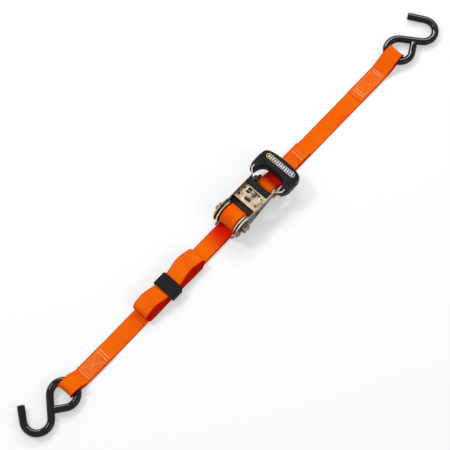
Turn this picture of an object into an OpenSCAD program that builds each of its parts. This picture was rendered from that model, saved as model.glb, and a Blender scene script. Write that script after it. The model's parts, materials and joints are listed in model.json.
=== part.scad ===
// Ratchet tie down: one-inch webbing, S hooks, ratchet buckle with a wide grip.
// +X runs from the long strap's hook to the short strap's hook, +Z is up.
// Places below are measured along X from the spool's axis. placed() then puts the origin on
// the ground under the middle of the base's floor plate.

/* [Webbing] */
// Width of the webbing
web_w = 25.4; // [22:0.2:26]
// Thickness of the webbing
web_t = 1.3; // [1.1:0.05:1.4]
// Air between two wound or folded layers
layer_gap = 0.5; // [0.45:0.05:0.6]
// Width of the webbing where it is drawn together inside a hook's eye
loop_w = 24.2; // [20:0.2:24.4]

/* [Steel sheet] */
// Thickness of the pressed side plates
plate_t = 1.8; // [1.5:0.1:2.2]
// Play between the webbing's edge and the base's side plate
side_play = 1.3; // [1:0.1:2]
// Play between plates that turn past each other
run_gap = 0.3; // [0.2:0.05:0.5]
// Radial play of a shaft in its bore
bore_play = 0.05; // [0.02:0.01:0.09]

/* [Spool and wheels] */
// Radius of the split spool
spool_r = 6; // [5.5:0.1:6.5]
// Width of the slot that holds the webbing
slot_w = 2.4; // [2.2:0.1:3]
// Turns of doubled webbing on the spool
wind_turns = 2.5; // [1.5:0.25:2.5]
// Tip radius of the toothed wheels
wheel_r = 17.2; // [17:0.1:18.5]
// Thickness of each toothed wheel
wheel_t = 2.2; // [1.8:0.1:3]
// Number of teeth, a multiple of 12
teeth = 24; // [12:12:24]
// Depth of the teeth
tooth_depth = 2.6; // [2:0.1:3]
// Length of spool that stands out past the handle's plates
spool_end = 4.6; // [4.2:0.1:8]
// Thickness of the washers on the spool's ends
washer_t = 1.2; // [0.8:0.1:1.4]
// Outer radius of the washers
washer_r = 9.5; // [8:0.5:12]
// Wire radius of the split pins
pin_r = 1.1; // [0.8:0.1:1.3]

/* [Base] */
// From the spool's axis to the anchor bolt
anchor_x = 66; // [64:1:70]
// Height of the anchor bolt over the ground
anchor_z = 10; // [9.6:0.1:11]
// Radius of the base's rounded end at the bolt
base_end_r = 9.5; // [8:0.1:9.5]
// Top edge of the base's side plates between spool and bolt
base_top = 16; // [14:0.5:16]
// How far the base's nose reaches past the spool's axis
nose_len = 20; // [18:0.5:21]
// Height of the nose
nose_h = 11; // [8:0.5:12]
// Where the base's floor plate starts
floor_x0 = 19; // [18:0.5:22]
// Length of the floor plate
floor_len = 37; // [30:1:38]

/* [Anchor bolt] */
// Shank radius of the anchor bolt
bolt_r = 3; // [2.5:0.1:3.3]
// Across-corner radius of the bolt's head and nut
hex_r = 5.6; // [5:0.1:6.2]
// Height of the head and the nut
hex_h = 4; // [3:0.5:5]
// Outer radius of the sleeve that the strap turns on
sleeve_r = 4.5; // [4.2:0.1:4.8]

/* [Pawls] */
// Thickness of both pawls
pawl_t = 2.2; // [1.8:0.1:2.4]
// Angle of the locking pawl below the driving pawl, a whole number of teeth
lock_turn = 30; // [30:15:30]
// Length of the locking pawl, from the wheel's tips
lock_len = 9.6; // [8:0.2:10]
// Travel of the locking pawl
lock_travel = 3; // [2.6:0.1:3.4]
// Travel of the driving pawl
drive_travel = 5; // [3:0.5:5]
// Height of the spring tabs on both pawls
tab_h = 7; // [6.5:0.5:7.5]
// Half width of the spring tabs
tab_half = 6; // [4:0.5:7]
// Wire radius of the pawl springs
spring_wire = 0.5; // [0.4:0.05:0.6]
// Mean coil radius of the pawl springs
spring_r = 2.6; // [2:0.1:2.8]

/* [Handle] */
// Height of the handle's top over the spool's axis
handle_top = 12.5; // [12:0.1:14]
// Where the handle's plates start to flare out
flare_x = 61; // [60:0.5:63]
// Depth of the flared arms
arm_h = 10; // [8:0.5:11]
// Where the top web starts
top_x0 = 22.4; // [21:0.2:24]
// Where the top web ends
top_x1 = 46.8; // [46:0.1:48]
// Length of the window over the spring
window_len = 8.5; // [7:0.5:9]
// Half width of the window
window_half = 10; // [8:0.5:11]
// Length of the finger bar
bar_len = 9.3; // [8:0.1:9.6]
// Height of the finger bar over the handle's top
bar_proud = 0.8; // [0:0.1:2]

/* [Grip] */
// Where the grip's bar starts at its middle
grip_x0 = 83; // [82:0.5:86]
// Where the grip's bar ends at its middle
grip_x1 = 107; // [105:0.5:108]
// Half width of the grip
grip_half = 33; // [32:0.5:36]
// Grip's lower face over the spool's axis
grip_low = -4.5; // [-5:0.5:-2]
// Grip's upper face over the spool's axis
grip_high = 13.5; // [13:0.5:15]
// Grip's wall between the handle's arm and the bolt's head or nut
nut_wall = 0.8; // [0.6:0.1:2]
// Radius of the grip's long edges
grip_edge = 4; // [3:0.5:5]
// Length of the inlay plate along the grip
inlay_len = 50; // [40:1:52]
// Width of the inlay plate
inlay_w = 9; // [6:0.5:9]
// Depth of the inlay's recess
inlay_t = 1.2; // [0.8:0.1:1.5]

/* [Hooks] */
// Centreline radius of the hook's eye and of its bend
hook_r = 18.2; // [18:0.1:19]
// Distance between the centres of the eye and the bend
hook_pitch = 47; // [46:0.5:50]
// Radius of the steel rod
rod_r = 4; // [3.8:0.1:4.2]
// Thickness of the vinyl coat
coat_t = 1.2; // [1:0.1:1.2]
// Straight length of the hook's tip
tip_len = 21; // [16:1:24]
// Turn of the left hook in its strap
left_turn = -2.5; // [-5:0.5:0]
// Turn of the right hook in its strap
right_turn = 4; // [0:0.5:5]
// How far the webbing's fold stays from the eye's centre
fold_off = 3; // [2.8:0.1:3.4]

/* [Straps] */
// From the spool's axis to the left hook's eye
left_eye = 326; // [310:2:400]
// From the spool's axis to the right hook's eye
right_eye = 352; // [340:2:400]
// From the left eye to the first seam
left_loop = 30; // [29:1:40]
// From the right eye to the first seam
right_loop = 44; // [30:1:50]
// Length of the sewn part at each hook
seam_len = 52; // [46:1:60]
// Where the short strap's folded ply ends, from the spool's axis
ply_end = 148; // [140:1:170]
// Where the short strap's plies meet, from the spool's axis
ply_meet = 98; // [94:1:102]

/* [Folded tail] */
// Distance of the folded tail's middle from the spool's axis
fold_x = 124; // [120:1:130]
// Length of the folded tail
fold_len = 116; // [100:2:118]
// Rounds of webbing in the folded tail
fold_rounds = 3; // [2:1:4]
// Extra pitch of the layers where the tail bulges
fold_bulge = 0.5; // [0:0.1:0.5]
// How far the folded tail lies to the back of the strap
fold_shift = 1; // [0:0.1:1.1]
// Width of the keeper along the strap
keeper_w = 21.5; // [15:0.5:30]
// Thickness of the keeper
keeper_t = 1.5; // [1:0.1:2]
// Distance of the keeper from the spool's axis
keeper_x = 128; // [120:1:132]

/* [Hidden] */
$fn = 64;

fit = 0.3;                       // air between pieces on different bodies
seat = 0.02;                     // air between pieces that are fixed together
pitch = web_t + layer_gap;       // one layer of webbing and the air over it
base_in = web_w / 2 + side_play; // inner face of the base's side plates
base_out = base_in + plate_t;
wheel_in = base_out + run_gap;
wheel_out = wheel_in + wheel_t;
handle_in = wheel_out + run_gap;
handle_out = handle_in + plate_t;
washer_in = handle_out + run_gap;
spool_len = washer_in + washer_t + spool_end;
disc_r = wheel_r + 0.8;          // the handle's round ends hide the wheels
spool_z = disc_r + 0.5;          // the handle's ends stay off the ground
base_disc_r = wheel_r - 0.7;
pawl_edge = wheel_r + 0.2;       // the pawls' middle stays out of the wheels
nose_tip = wheel_r - tooth_depth + 0.45;
bore_r = spool_r + bore_play;

// ---- Paths and ribbons in the X-Z plane ----
function unit(v) = v / norm(v);
function along(p, i) = unit(p[min(i + 1, len(p) - 1)] - p[max(i - 1, 0)]);
function left_of(v) = [-v[1], v[0]];
function side_line(p, d) = [for (i = [0 : len(p) - 1]) p[i] + d * left_of(along(p, i))];
function reversed(p) = [for (i = [len(p) - 1 : -1 : 0]) p[i]];
function ribbon(p, t) = concat(side_line(p, t / 2), reversed(side_line(p, -t / 2)));
function arc(c, r, a0, a1, n) = [for (i = [0 : n]) let (a = a0 + (a1 - a0) * i / n) c + r * [cos(a), sin(a)]];
function smooth(t) = let (s = min(max(t, 0), 1)) s * s * (3 - 2 * s);
function total(v, i = 0) = i >= len(v) ? 0 : v[i] + total(v, i + 1);
function path_len(p) = total([for (i = [1 : len(p) - 1]) norm(p[i] - p[i - 1])]);

// A flat outline in the X-Z plane, drawn out along Y about y0
module slab(w, y0 = 0) translate([0, y0 + w / 2, 0]) rotate([90, 0, 0]) linear_extrude(w) children();
// The same outline from y = a to y = b, and its mirror image
module pair(a, b) for (s = [0, 1]) mirror([0, s, 0]) slab(b - a, (a + b) / 2) children();
// A round bar along Y from y = a to y = b
module y_rod(r, a, b) translate([0, a, 0]) rotate([-90, 0, 0]) cylinder(r = r, h = b - a);
module at_spool() translate([0, 0, spool_z]) children();

// ---- Spool, wheels and winding ----
wind_core = spool_r + layer_gap + web_t / 2;
wind_end = wind_core + 2 * pitch * wind_turns;   // centreline radius of the outer layer
wind_r = wind_end + web_t / 2;
// Radius of the first arm after a degrees, measured inwards from the bottom of the winding
function wind_rad(a) = wind_end - 2 * pitch * a / 360;
arm_sweep = 360 * wind_turns - 18;                // each arm ends just before the spool's lip
slot_turn = 270 + arm_sweep + 18;                 // direction of the spool's slot
// The outer arm runs from the slot to the bottom, the inner arm stops half a turn earlier
function arm_at(a, half) = wind_rad(a) * [cos(270 + a + half), sin(270 + a + half)];
function arm(from, half) = [for (i = [0 : ceil((arm_sweep - from) / 15)])
  arm_at(from + (arm_sweep - from) * i / ceil((arm_sweep - from) / 15), half)];
slot_dir = [cos(slot_turn), sin(slot_turn)];
lip = [sqrt(spool_r * spool_r - slot_w * slot_w / 4), -slot_w / 2];
lip_run = arc(lip, web_t / 2 + fit, 0, 90, 4);
function at_slot(p) = p[0] * slot_dir + p[1] * left_of(slot_dir);
// Round one lip, through the slot and round the other lip
slot_run = concat([for (p = lip_run) at_slot(p)], [for (p = reversed(lip_run)) -at_slot(p)]);
winding_path = concat(arm(0, 0), slot_run, reversed(arm(180, 180)));

module spool_half(side) color("silver") at_spool() slab(2 * spool_len) rotate(slot_turn)
  intersection() {
    circle(r = spool_r);
    translate([-spool_r, side > 0 ? slot_w / 2 : -slot_w / 2 - spool_r]) square([2 * spool_r, spool_r]);
  }
module pin_holes() for (s = [-1, 1]) at_spool() translate([0, s * pin_y, 0])
  rotate([0, -slot_turn, 0]) cylinder(r = pin_r + seat, h = 3 * spool_r, center = true);
module spool_half_a() difference() { spool_half(1); pin_holes(); }
module spool_half_b() difference() { spool_half(-1); pin_holes(); }
pin_y = washer_in + washer_t + pin_r + 0.2;
pin_out = 0.8;                   // how far a split pin's shank stands out of the spool
pin_loop_r = 1.6;                // centreline radius of its loop
pin_leg = 2.6;                   // reach of each bent leg

// One tooth runs from a steep face back down to the next root
tooth_turn = atan2(pawl_t / 2 + 0.15, nose_tip + 1.1);
function wheel_points() = [for (i = [0 : teeth - 1]) let (a = tooth_turn - i * 360 / teeth)
  each [(wheel_r - tooth_depth) * [cos(a), sin(a)], wheel_r * [cos(a - 360 / teeth), sin(a - 360 / teeth)]]];
module ratchet_wheels() color("dimgray") at_spool() pair(wheel_in, wheel_out) difference() {
  polygon(wheel_points());
  rotate(slot_turn) difference() {
    circle(r = spool_r + seat);
    square([3 * spool_r, slot_w - 2 * seat], center = true);
  }
}
module spool_washers() color("silver") at_spool() pair(washer_in, washer_in + washer_t) difference() {
  circle(r = washer_r);
  circle(r = bore_r);
}
// A split pin through both halves, with its loop on one side and bent legs on the other
module split_pins() color("gray") for (s = [0, 1]) mirror([0, s, 0]) at_spool()
  translate([0, pin_y, 0]) rotate([0, -slot_turn, 0]) {
    cylinder(r = pin_r, h = 2 * (spool_r + pin_out), center = true);
    translate([0, 0, spool_r + pin_out + pin_loop_r]) rotate([90, 0, 0]) rotate_extrude()
      translate([pin_loop_r, 0]) circle(r = pin_r * 0.8, $fn = 24);
    translate([0, 0, -spool_r - pin_out]) rotate([0, 90, 0])
      cylinder(r = pin_r * 0.8, h = 2 * pin_leg, center = true, $fn = 24);
  }
module strap_winding() color("orangered") at_spool() slab(web_w) polygon(ribbon(winding_path, web_t));

// ---- Base ----
nose_r = nose_h / 2;
module base_outline() difference() {
  union() {
    translate([0, spool_z]) circle(r = base_disc_r);
    translate([nose_r - nose_len, nose_r]) circle(r = nose_r, $fn = 48);
    polygon([[nose_r - nose_len, 0], [nose_r - nose_len, nose_h - 0.01], [-base_disc_r * 0.9, spool_z],
      [0, spool_z], [0, 0]]);
    polygon([[0, 0], [anchor_x, anchor_z - base_end_r], [anchor_x, anchor_z], [anchor_x - base_end_r, base_top],
      [0, base_top]]);
    translate([anchor_x, anchor_z]) circle(r = base_end_r);
  }
  translate([0, spool_z]) circle(r = bore_r);
  translate([anchor_x, anchor_z]) circle(r = bolt_r + seat);
  lock_frame() translate([pawl_edge - 0.6, -pawl_t / 2 - fit])
    square([lock_len + lock_travel + 1.2, pawl_t + 2 * fit]);
}
module lock_frame() translate([0, spool_z]) rotate(-lock_turn) children();
tab_t = 2;
lock_end = pawl_edge + lock_len;
bracket_u = lock_end + lock_travel + 5;
module base_frame() color("goldenrod") {
  pair(base_in, base_out) base_outline();
  difference() {
    translate([floor_x0, -base_in - seat, 0]) cube([floor_len, 2 * (base_in + seat), plate_t]);
    for (x = [0.3, 0.7]) translate([floor_x0 + floor_len * x, 0, -1]) cylinder(r = 3, h = plate_t + 2);
  }
  intersection() {
    slab(2 * tab_half) lock_frame() translate([bracket_u, -6]) square([plate_t, tab_h + 6.5]);
    translate([0, -web_w, 0.2]) cube([2 * anchor_x, 2 * web_w, 2 * spool_z]);
  }
}
module hexagon(r, h) cylinder(r = r, h = h, $fn = 6);
module anchor_bolt() color("dimgray") translate([anchor_x, 0, anchor_z]) {
  y_rod(bolt_r, -base_out - seat, base_out + hex_h + 1.4);
  translate([0, -base_out - seat, 0]) rotate([90, 0, 0]) hexagon(hex_r, hex_h - 1);
}
module anchor_nut() color("dimgray") translate([anchor_x, base_out + seat, anchor_z]) rotate([-90, 0, 0])
  difference() {
    hexagon(hex_r, hex_h);
    translate([0, 0, -1]) cylinder(r = bolt_r + seat, h = hex_h + 2);
  }
module anchor_sleeve() color("silver") translate([anchor_x, 0, anchor_z]) slab(2 * (base_in - seat))
  difference() {
    circle(r = sleeve_r);
    circle(r = bolt_r + bore_play);
  }

// ---- Pawls: u runs out from the spool's axis, v across ----
// The nose has one side along the tooth's steep face and one cut back for its slope
module nose(u1) polygon([[nose_tip, pawl_t / 2], [nose_tip, pawl_t / 2 - 0.3], [nose_tip + 1.45, -pawl_t / 2],
  [u1, -pawl_t / 2], [u1, pawl_t / 2]]);
nose_in = wheel_in;
nose_out = wheel_out - 0.1;
module lock_pawl() color("gray") {
  slab(2 * (nose_in + 0.01)) lock_frame() translate([pawl_edge, -pawl_t / 2]) square([lock_len, pawl_t]);
  pair(nose_in, nose_out) lock_frame() nose(lock_end - 1);
  slab(2 * tab_half) lock_frame() translate([lock_end - tab_t, 0]) square([tab_t, tab_h]);
}
module spring(len, turns) {
  steps = 10;
  n = ceil(turns * steps);
  sides = 6;
  pts = [for (k = [0 : n], j = [0 : sides - 1]) let (a = 360 * k / steps, b = 360 * j / sides)
    [(spring_r + spring_wire * cos(b)) * cos(a), (spring_r + spring_wire * cos(b)) * sin(a),
      spring_wire + (len - 2 * spring_wire) * k / n + spring_wire * sin(b)]];
  polyhedron(pts, concat([[for (j = [0 : sides - 1]) j]],
    [for (k = [0 : n - 1], j = [0 : sides - 1]) let (a = k * sides + j, b = k * sides + (j + 1) % sides)
      each [[a, a + sides, b], [b, a + sides, b + sides]]],
    [[for (j = [sides - 1 : -1 : 0]) n * sides + j]]));
}
lock_spring_len = bracket_u - lock_end - 2 * seat;
module lock_spring() color("silver") translate([0, 0, spool_z]) rotate([0, lock_turn, 0])
  translate([lock_end + seat, 0, pawl_t / 2 + spring_r + spring_wire + 0.2]) rotate([0, 90, 0])
    spring(lock_spring_len, 4);

// ---- Handle ----
arm_out = grip_half - hex_h - nut_wall;
arm_in = arm_out - plate_t;
flare_end = flare_x + arm_out - handle_out;
grip_bolt_x = (grip_x0 + grip_x1) / 2;
grip_bolt_z = handle_top - arm_h / 2;
arm_end = grip_bolt_x + 5.5;
// Where a line from point p touches the round end of the handle's plate from below
function touch(p) = let (a = atan2(p[1], p[0]) - acos(disc_r / norm(p))) disc_r * [cos(a), sin(a)];
low_corner = [flare_x, handle_top - arm_h];
top_touch = sqrt(disc_r * disc_r - handle_top * handle_top);
module handle_outline() difference() {
  union() {
    circle(r = disc_r);
    polygon([[0, 0], touch(low_corner), low_corner, [flare_x, handle_top], [top_touch, handle_top]]);
  }
  circle(r = bore_r);
  translate([ear_x0 - fit, -pawl_t / 2 - fit]) square([ear_len + drive_travel + 2 * fit, pawl_t + 2 * fit]);
}
ear_x0 = 24;
ear_len = 9;
// Plan of one flared arm, made wider by play for its pocket in the grip
function arm_plan(play = 0) = [[flare_x - 0.01, handle_in - 1.5 * play], [flare_end + play / 2, arm_in - play],
  [arm_end + play, arm_in - play], [arm_end + play, arm_out + play], [flare_end - plate_t * 0.41, arm_out + play],
  [flare_x - 0.01, handle_out + 1.5 * play]];
module handle_arms(play = 0) for (s = [0, 1]) mirror([0, s, 0]) translate([0, 0, handle_top - arm_h - play])
  linear_extrude(arm_h + 2 * play) polygon(arm_plan(play));
tab_x = top_x1 - plate_t;
module handle_frame() color("goldenrod") at_spool() {
  pair(handle_in, handle_out) handle_outline();
  difference() {
    handle_arms();
    translate([grip_bolt_x, 0, grip_bolt_z]) y_rod(bolt_r + seat, -2 * arm_out, 2 * arm_out);
  }
  difference() {
    translate([top_x0, -handle_in - seat, handle_top - plate_t])
      cube([top_x1 - top_x0, 2 * (handle_in + seat), plate_t]);
    translate([tab_x - window_len, -window_half, 0]) cube([window_len, 2 * window_half, 2 * handle_top]);
    hull() for (y = [-3, 3]) translate([top_x0 + 7.5, y, 0]) cylinder(r = 2.4, h = 2 * handle_top);
    for (x = [6.5, 18.5], y = [-14.5, 14.5]) translate([top_x0 + x, y, 0]) cylinder(r = 1.7, h = 2 * handle_top);
  }
  translate([tab_x, -tab_half, pawl_t / 2 + fit]) cube([plate_t, 2 * tab_half, handle_top - pawl_t / 2 - fit]);
}

// ---- Grip: plan outline, cut to rounded edges ----
grip_arm_x = flare_end - 3;       // the grip's arms start on the flare
grip_hole = arm_in - 5.5;         // half width of the finger gap
chamfer_x = 9;
chamfer_y = 6.5;
bow = 1.6;                        // the grip's long edges bow out in the middle
function grip_half_plan() = [[grip_x0 + bow, 0], [grip_x0 + bow * 0.7, grip_hole * 0.4], [grip_x0 - 1.5, grip_hole * 0.75],
  [grip_x0 - 6, grip_hole - 0.6], [grip_arm_x + 5, grip_hole + 0.4], [grip_arm_x, grip_hole + 1.2],
  [grip_arm_x, grip_half - chamfer_y], [grip_arm_x + chamfer_x, grip_half - 0.6], [grip_arm_x + chamfer_x + 5, grip_half],
  [grip_x1 - 11, grip_half], [grip_x1 - 6.5, grip_half - 1.4], [grip_x1 - 3, grip_half - 5],
  [grip_x1 - 1.2, grip_half * 0.6], [grip_x1 - 0.3, grip_half * 0.3], [grip_x1, 0]];
function mirrored(p) = [for (i = [len(p) - 2 : -1 : 1]) [p[i][0], -p[i][1]]];
module grip_plan(inset = 0) intersection() {
  polygon(concat(grip_half_plan(), mirrored(grip_half_plan())));
  square([2 * (grip_x1 - inset), 2 * (grip_half - inset)], center = true);
}
// Side profile with rounded long edges
module grip_side() {
  x0 = grip_arm_x;
  e = grip_edge;
  c = grip_x1 - e - 0.5;
  polygon(concat(
    [[x0, grip_low + 3.5], [grip_x0 - 4, grip_low + 1.5], [grip_x0 + 5, grip_low]],
    arc([c, grip_low + e], e + 0.5, -80, 0, 6), arc([c - 0.5, grip_high - e], e + 1, 8, 88, 6),
    [[grip_x0, grip_high], [grip_x0 - 7, grip_high - 0.6], [x0 + 1, grip_high - 1.4], [x0, grip_high - 2.4]]));
}
// End profile, seen along X, with rounded edges at both ends of the grip
module grip_end() {
  e = grip_edge;
  w = grip_half - e;
  polygon(concat(arc([w, grip_low + e], e, -90, 0, 6), arc([w, grip_high - e], e, 0, 90, 6),
    arc([-w, grip_high - e], e, 90, 180, 6), arc([-w, grip_low + e], e, 180, 270, 6)));
}
inlay_x = grip_x1 - 10.5;
module inlay_outline(play = 0) intersection() {
  square([inlay_w + 2 * play, inlay_len + 2 * play], center = true);
  for (y = [-1, 1]) translate([0, y * (inlay_len / 2 - inlay_w / 2)]) union() {
    circle(r = inlay_w / 2 + play);
    translate([-inlay_w, y > 0 ? -inlay_len : 0]) square([2 * inlay_w, inlay_len]);
  }
}
module handle_grip() color("black") at_spool() difference() {
  intersection() {
    translate([0, 0, grip_low - 1]) linear_extrude(grip_high - grip_low + 2) grip_plan();
    slab(2 * grip_half) grip_side();
    rotate([90, 0, 90]) linear_extrude(grip_x1 + 1) grip_end();
  }
  handle_arms(seat);
  translate([grip_bolt_x, 0, grip_bolt_z]) {
    y_rod(bolt_r + seat, -grip_half - 1, grip_half + 1);
    y_rod(hex_r + seat, grip_nut_y, grip_half + 1);
    y_rod(hex_r + seat, -grip_half - 1, -grip_nut_y);
  }
  translate([inlay_x, 0, grip_high - inlay_t]) linear_extrude(2 * inlay_t) inlay_outline(seat);
}
grip_nut_y = grip_half - hex_h;
module grip_inlay() color("khaki") at_spool() translate([inlay_x, 0, grip_high - inlay_t]) {
  linear_extrude(inlay_t - 0.3) inlay_outline(-seat);
  // Low ticks along the bare plate
  for (i = [-8 : 8]) translate([0.6, i * inlay_len / 22, 0])
    translate([-inlay_w * 0.25, -0.5, 0]) cube([inlay_w * 0.5, 1, inlay_t - 0.02]);
}
module grip_bolt() color("dimgray") at_spool() translate([grip_bolt_x, 0, grip_bolt_z]) {
  y_rod(bolt_r, -grip_nut_y - 0.01, grip_nut_y + hex_h - 0.6);
  translate([0, -grip_nut_y, 0]) rotate([90, 0, 0]) hexagon(hex_r - seat, hex_h - 0.8);
}
module grip_nut() color("dimgray") at_spool() translate([grip_bolt_x, grip_nut_y, grip_bolt_z])
  rotate([-90, 0, 0]) difference() {
    hexagon(hex_r - seat, hex_h - 1);
    translate([0, 0, -1]) cylinder(r = bolt_r + seat, h = hex_h + 2);
  }

// ---- Driving pawl, its spring and the finger bar ----
bar_x0 = top_x1 + 0.6;
riser_x = bar_x0 + 2;
pawl_half = handle_in - run_gap;
drive_tab_x = ear_x0 + ear_len;
module drive_pawl() color("goldenrod") at_spool() {
  translate([pawl_edge, -nose_in - 0.01, -pawl_t / 2])
    cube([ear_x0 - pawl_edge, 2 * (nose_in + 0.01), pawl_t]);
  pair(nose_in, nose_out) nose(ear_x0 + 0.01);
  translate([ear_x0, -pawl_half, -pawl_t / 2]) cube([riser_x + pawl_t - ear_x0, 2 * pawl_half, pawl_t]);
  translate([ear_x0, -handle_out - 0.8, -pawl_t / 2]) cube([ear_len, 2 * (handle_out + 0.8), pawl_t]);
  translate([riser_x, -base_out, 0]) cube([pawl_t, 2 * base_out, 6]);
  translate([drive_tab_x - tab_t, -tab_half, 0]) cube([tab_t, 2 * tab_half, tab_h]);
}
bar_low = pawl_t / 2 + 0.02;
bar_high = handle_top + bar_proud;
module bar_outline() {
  e = 1.6;
  polygon(concat(arc([bar_x0 + bar_len - e, bar_low + e], e, -90, 0, 4),
    arc([bar_x0 + bar_len - 2 * e, bar_high - 2 * e], 2 * e, 0, 90, 6),
    arc([bar_x0 + 2 * e, bar_high - 2 * e], 2 * e, 90, 180, 6), arc([bar_x0 + e, bar_low + e], e, 180, 270, 4)));
}
module finger_bar() color("black") at_spool() difference() {
  slab(2 * (pawl_half - 0.1)) bar_outline();
  translate([riser_x - seat, -base_out - seat, -1]) cube([pawl_t + 2 * seat, 2 * (base_out + seat), 7 + seat]);
}
module drive_spring() color("silver") at_spool()
  translate([drive_tab_x + seat, 0, pawl_t / 2 + spring_r + spring_wire + 0.4]) rotate([0, 90, 0])
    spring(tab_x - drive_tab_x - 2 * seat, 5);

// ---- Hooks, drawn as the left one about its eye's centre ----
coat_r = rod_r + coat_t;
hook_z = web_t + 0.4 + coat_r;    // the eye's bar lies on the webbing, the bend on the ground
hook_tilt = asin((hook_z - coat_r) / (hook_pitch + 2 * hook_r));
stem_a = acos(2 * hook_r / hook_pitch);
tip_a = 146;
eye_end_a = -125;
module ring_part(r, a0, a1) rotate(a0) rotate_extrude(angle = a1 - a0) translate([hook_r, 0]) circle(r = r);
// A straight stretch is a hair thinner than the bends and starts just inside one
step = 0.02;
dip = 0.4;
module rod_from(p, a, len, r, round_end = false) translate(concat(p, 0)) rotate(a) rotate([0, 90, 0]) {
  translate([0, 0, -dip]) cylinder(r = r - step, h = len + (round_end ? dip : 2 * dip));
  if (round_end) translate([0, 0, len]) sphere(r = r - step);
}
function polar(r, a) = r * [cos(a), sin(a)];
bend_c = [-hook_pitch, 0];
// Centreline length of the eye's closing end, up to the stem
eye_p = polar(hook_r, eye_end_a);
stem_n = [cos(-stem_a), sin(-stem_a)];
eye_gap = eye_p * stem_n + hook_r;
close_len = eye_gap - 2 * coat_r - 0.35;
module hook_body(r) {
  ring_part(r, eye_end_a, 180 - stem_a);
  rod_from(polar(hook_r, 180 - stem_a), 270 - stem_a, norm([hook_pitch, 0] - 2 * polar(hook_r, stem_a)), r);
  translate(concat(bend_c, 0)) ring_part(r, tip_a, 360 - stem_a);
  rod_from(bend_c + polar(hook_r, tip_a), tip_a - 90, tip_len, r, true);
  rod_from(eye_p, eye_end_a - 90, close_len, r, true);
}
module place_hook(eye, turn) translate([hook_r - eye, 0, hook_z]) rotate([0, -hook_tilt, 0])
  translate([-hook_r, 0, 0]) rotate(turn) children();
module hook_rod() color("gray") hook_body(rod_r);
module hook_coat() color("black") difference() {
  hook_body(coat_r);
  hook_body(rod_r + seat);
}
module left_hook_rod() place_hook(left_eye, left_turn) hook_rod();
module left_hook_coat() place_hook(left_eye, left_turn) hook_coat();
module right_hook_rod() mirror([1, 0, 0]) place_hook(right_eye, right_turn) hook_rod();
module right_hook_coat() mirror([1, 0, 0]) place_hook(right_eye, right_turn) hook_coat();

// ---- Webbing loops through the eyes, drawn as the left one ----
loop_r = coat_r + 0.4 + web_t / 2;
// Where a line from point p touches a circle about c from its upper side, on the p side
function over(p, c, r) = atan2(p[1] - c[1], p[0] - c[0]) + acos(r / norm(p - c));
module strap_loop(eye, loop) {
  bar = [hook_r - eye, hook_z];
  fold = [fold_off + loop_r + web_t / 2 - eye, hook_z];
  seam = [loop - eye, 1.5 * web_t];
  a = over(seam, bar, loop_r);
  path = concat([seam], arc(bar, loop_r, a, 90, 6), arc(fold, loop_r, 90, 270, 14));
  outer = side_line(path, -web_t / 2);
  inner = side_line(path, web_t / 2);
  n = len(path) - 1;
  slab(loop_w) difference() {
    polygon(concat(arc([seam[0], web_t], web_t, -90, a, 6), [for (i = [1 : n - 1]) outer[i]], [[fold[0], 0]]));
    polygon(concat([[seam[0] - web_t, web_t]], [for (i = [1 : n - 1]) inner[i]], [[fold[0], web_t]]));
  }
}
module left_strap_loop() color("orangered") strap_loop(left_eye, left_loop);
module right_strap_loop() color("orangered") mirror([1, 0, 0]) strap_loop(right_eye, right_loop);
seam_gap = web_t + fit;          // the strap's end stays off the loop's round end

// ---- Long strap: it rises over the keeper's lower side ----
ramp = 26;
function lift(x) = (keeper_t + 0.1) * smooth((keeper_w / 2 + ramp - abs(x + keeper_x)) / (ramp - 4));
main_x0 = -left_eye + left_loop + seam_gap;
// A strap's outline from its path, with a second ply sewn on top over seam_len from x on
function sewn(x) = [[x, web_t], [x, 2 * web_t], [x + seam_len, 2 * web_t], [x + seam_len, web_t]];
main_path = concat([[main_x0 + seam_len, web_t / 2]],
  [for (i = [-10 : 10]) let (x = -keeper_x + i * (keeper_w / 2 + ramp) / 10) [x, lift(x) + web_t / 2]],
  [[0, web_t / 2]]);
module main_strap() color("orangered") slab(web_w)
  polygon(concat([[main_x0, 0]], sewn(main_x0), side_line(main_path, web_t / 2),
    reversed(side_line(main_path, -web_t / 2))));

// ---- Folded tail: it leaves the winding over the long strap and is rolled flat ----
tail_z = web_t + layer_gap + web_t / 2;
tail_x0 = -sqrt(pow(wind_r, 2) - pow(spool_z - tail_z - web_t / 2 - fit, 2));
function layer_pitch(x) = pitch + fold_bulge * smooth((abs(x + keeper_x) - keeper_w / 2) / 18);
end_pitch = pitch + fold_bulge;
fold_xl = -fold_x - fold_len / 2 + fold_rounds * end_pitch + web_t / 2;
fold_xr = -fold_x + fold_len / 2 - fold_rounds * end_pitch - web_t / 2;
function mid_z(x) = lift(x) + tail_z + fold_rounds * layer_pitch(x);
// Half round k is a run, below if k is even, and the loop at its end
function run_pts(k) = [for (i = [1 : 8]) let (t = i / 8, x = k % 2 == 0 ? fold_xr + (fold_xl - fold_xr) * t
  : fold_xl + (fold_xr - fold_xl) * t) [x, mid_z(x) + (k % 2 == 0 ? -1 : 1) * (fold_rounds - k / 2 - t / 4)
  * layer_pitch(x)]];
function loop_pts(k) = [for (i = [1 : 12]) let (t = i / 12, even = k % 2 == 0, a = even ? 270 - 180 * t : 90 - 180 * t,
  x = even ? fold_xl : fold_xr) [x, mid_z(x)] + (fold_rounds - k / 2 - 0.25 - t / 4) * end_pitch * [cos(a), sin(a)]];
tail_path = concat([[tail_x0, tail_z], [fold_xr + 4, tail_z], [fold_xr, tail_z]],
  [for (k = [0 : 2 * fold_rounds - 2]) each concat(run_pts(k), k < 2 * fold_rounds - 2 ? loop_pts(k) : [])]);
module folded_tail() color("orangered") slab(web_w, fold_shift) polygon(ribbon(tail_path, web_t));

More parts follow.
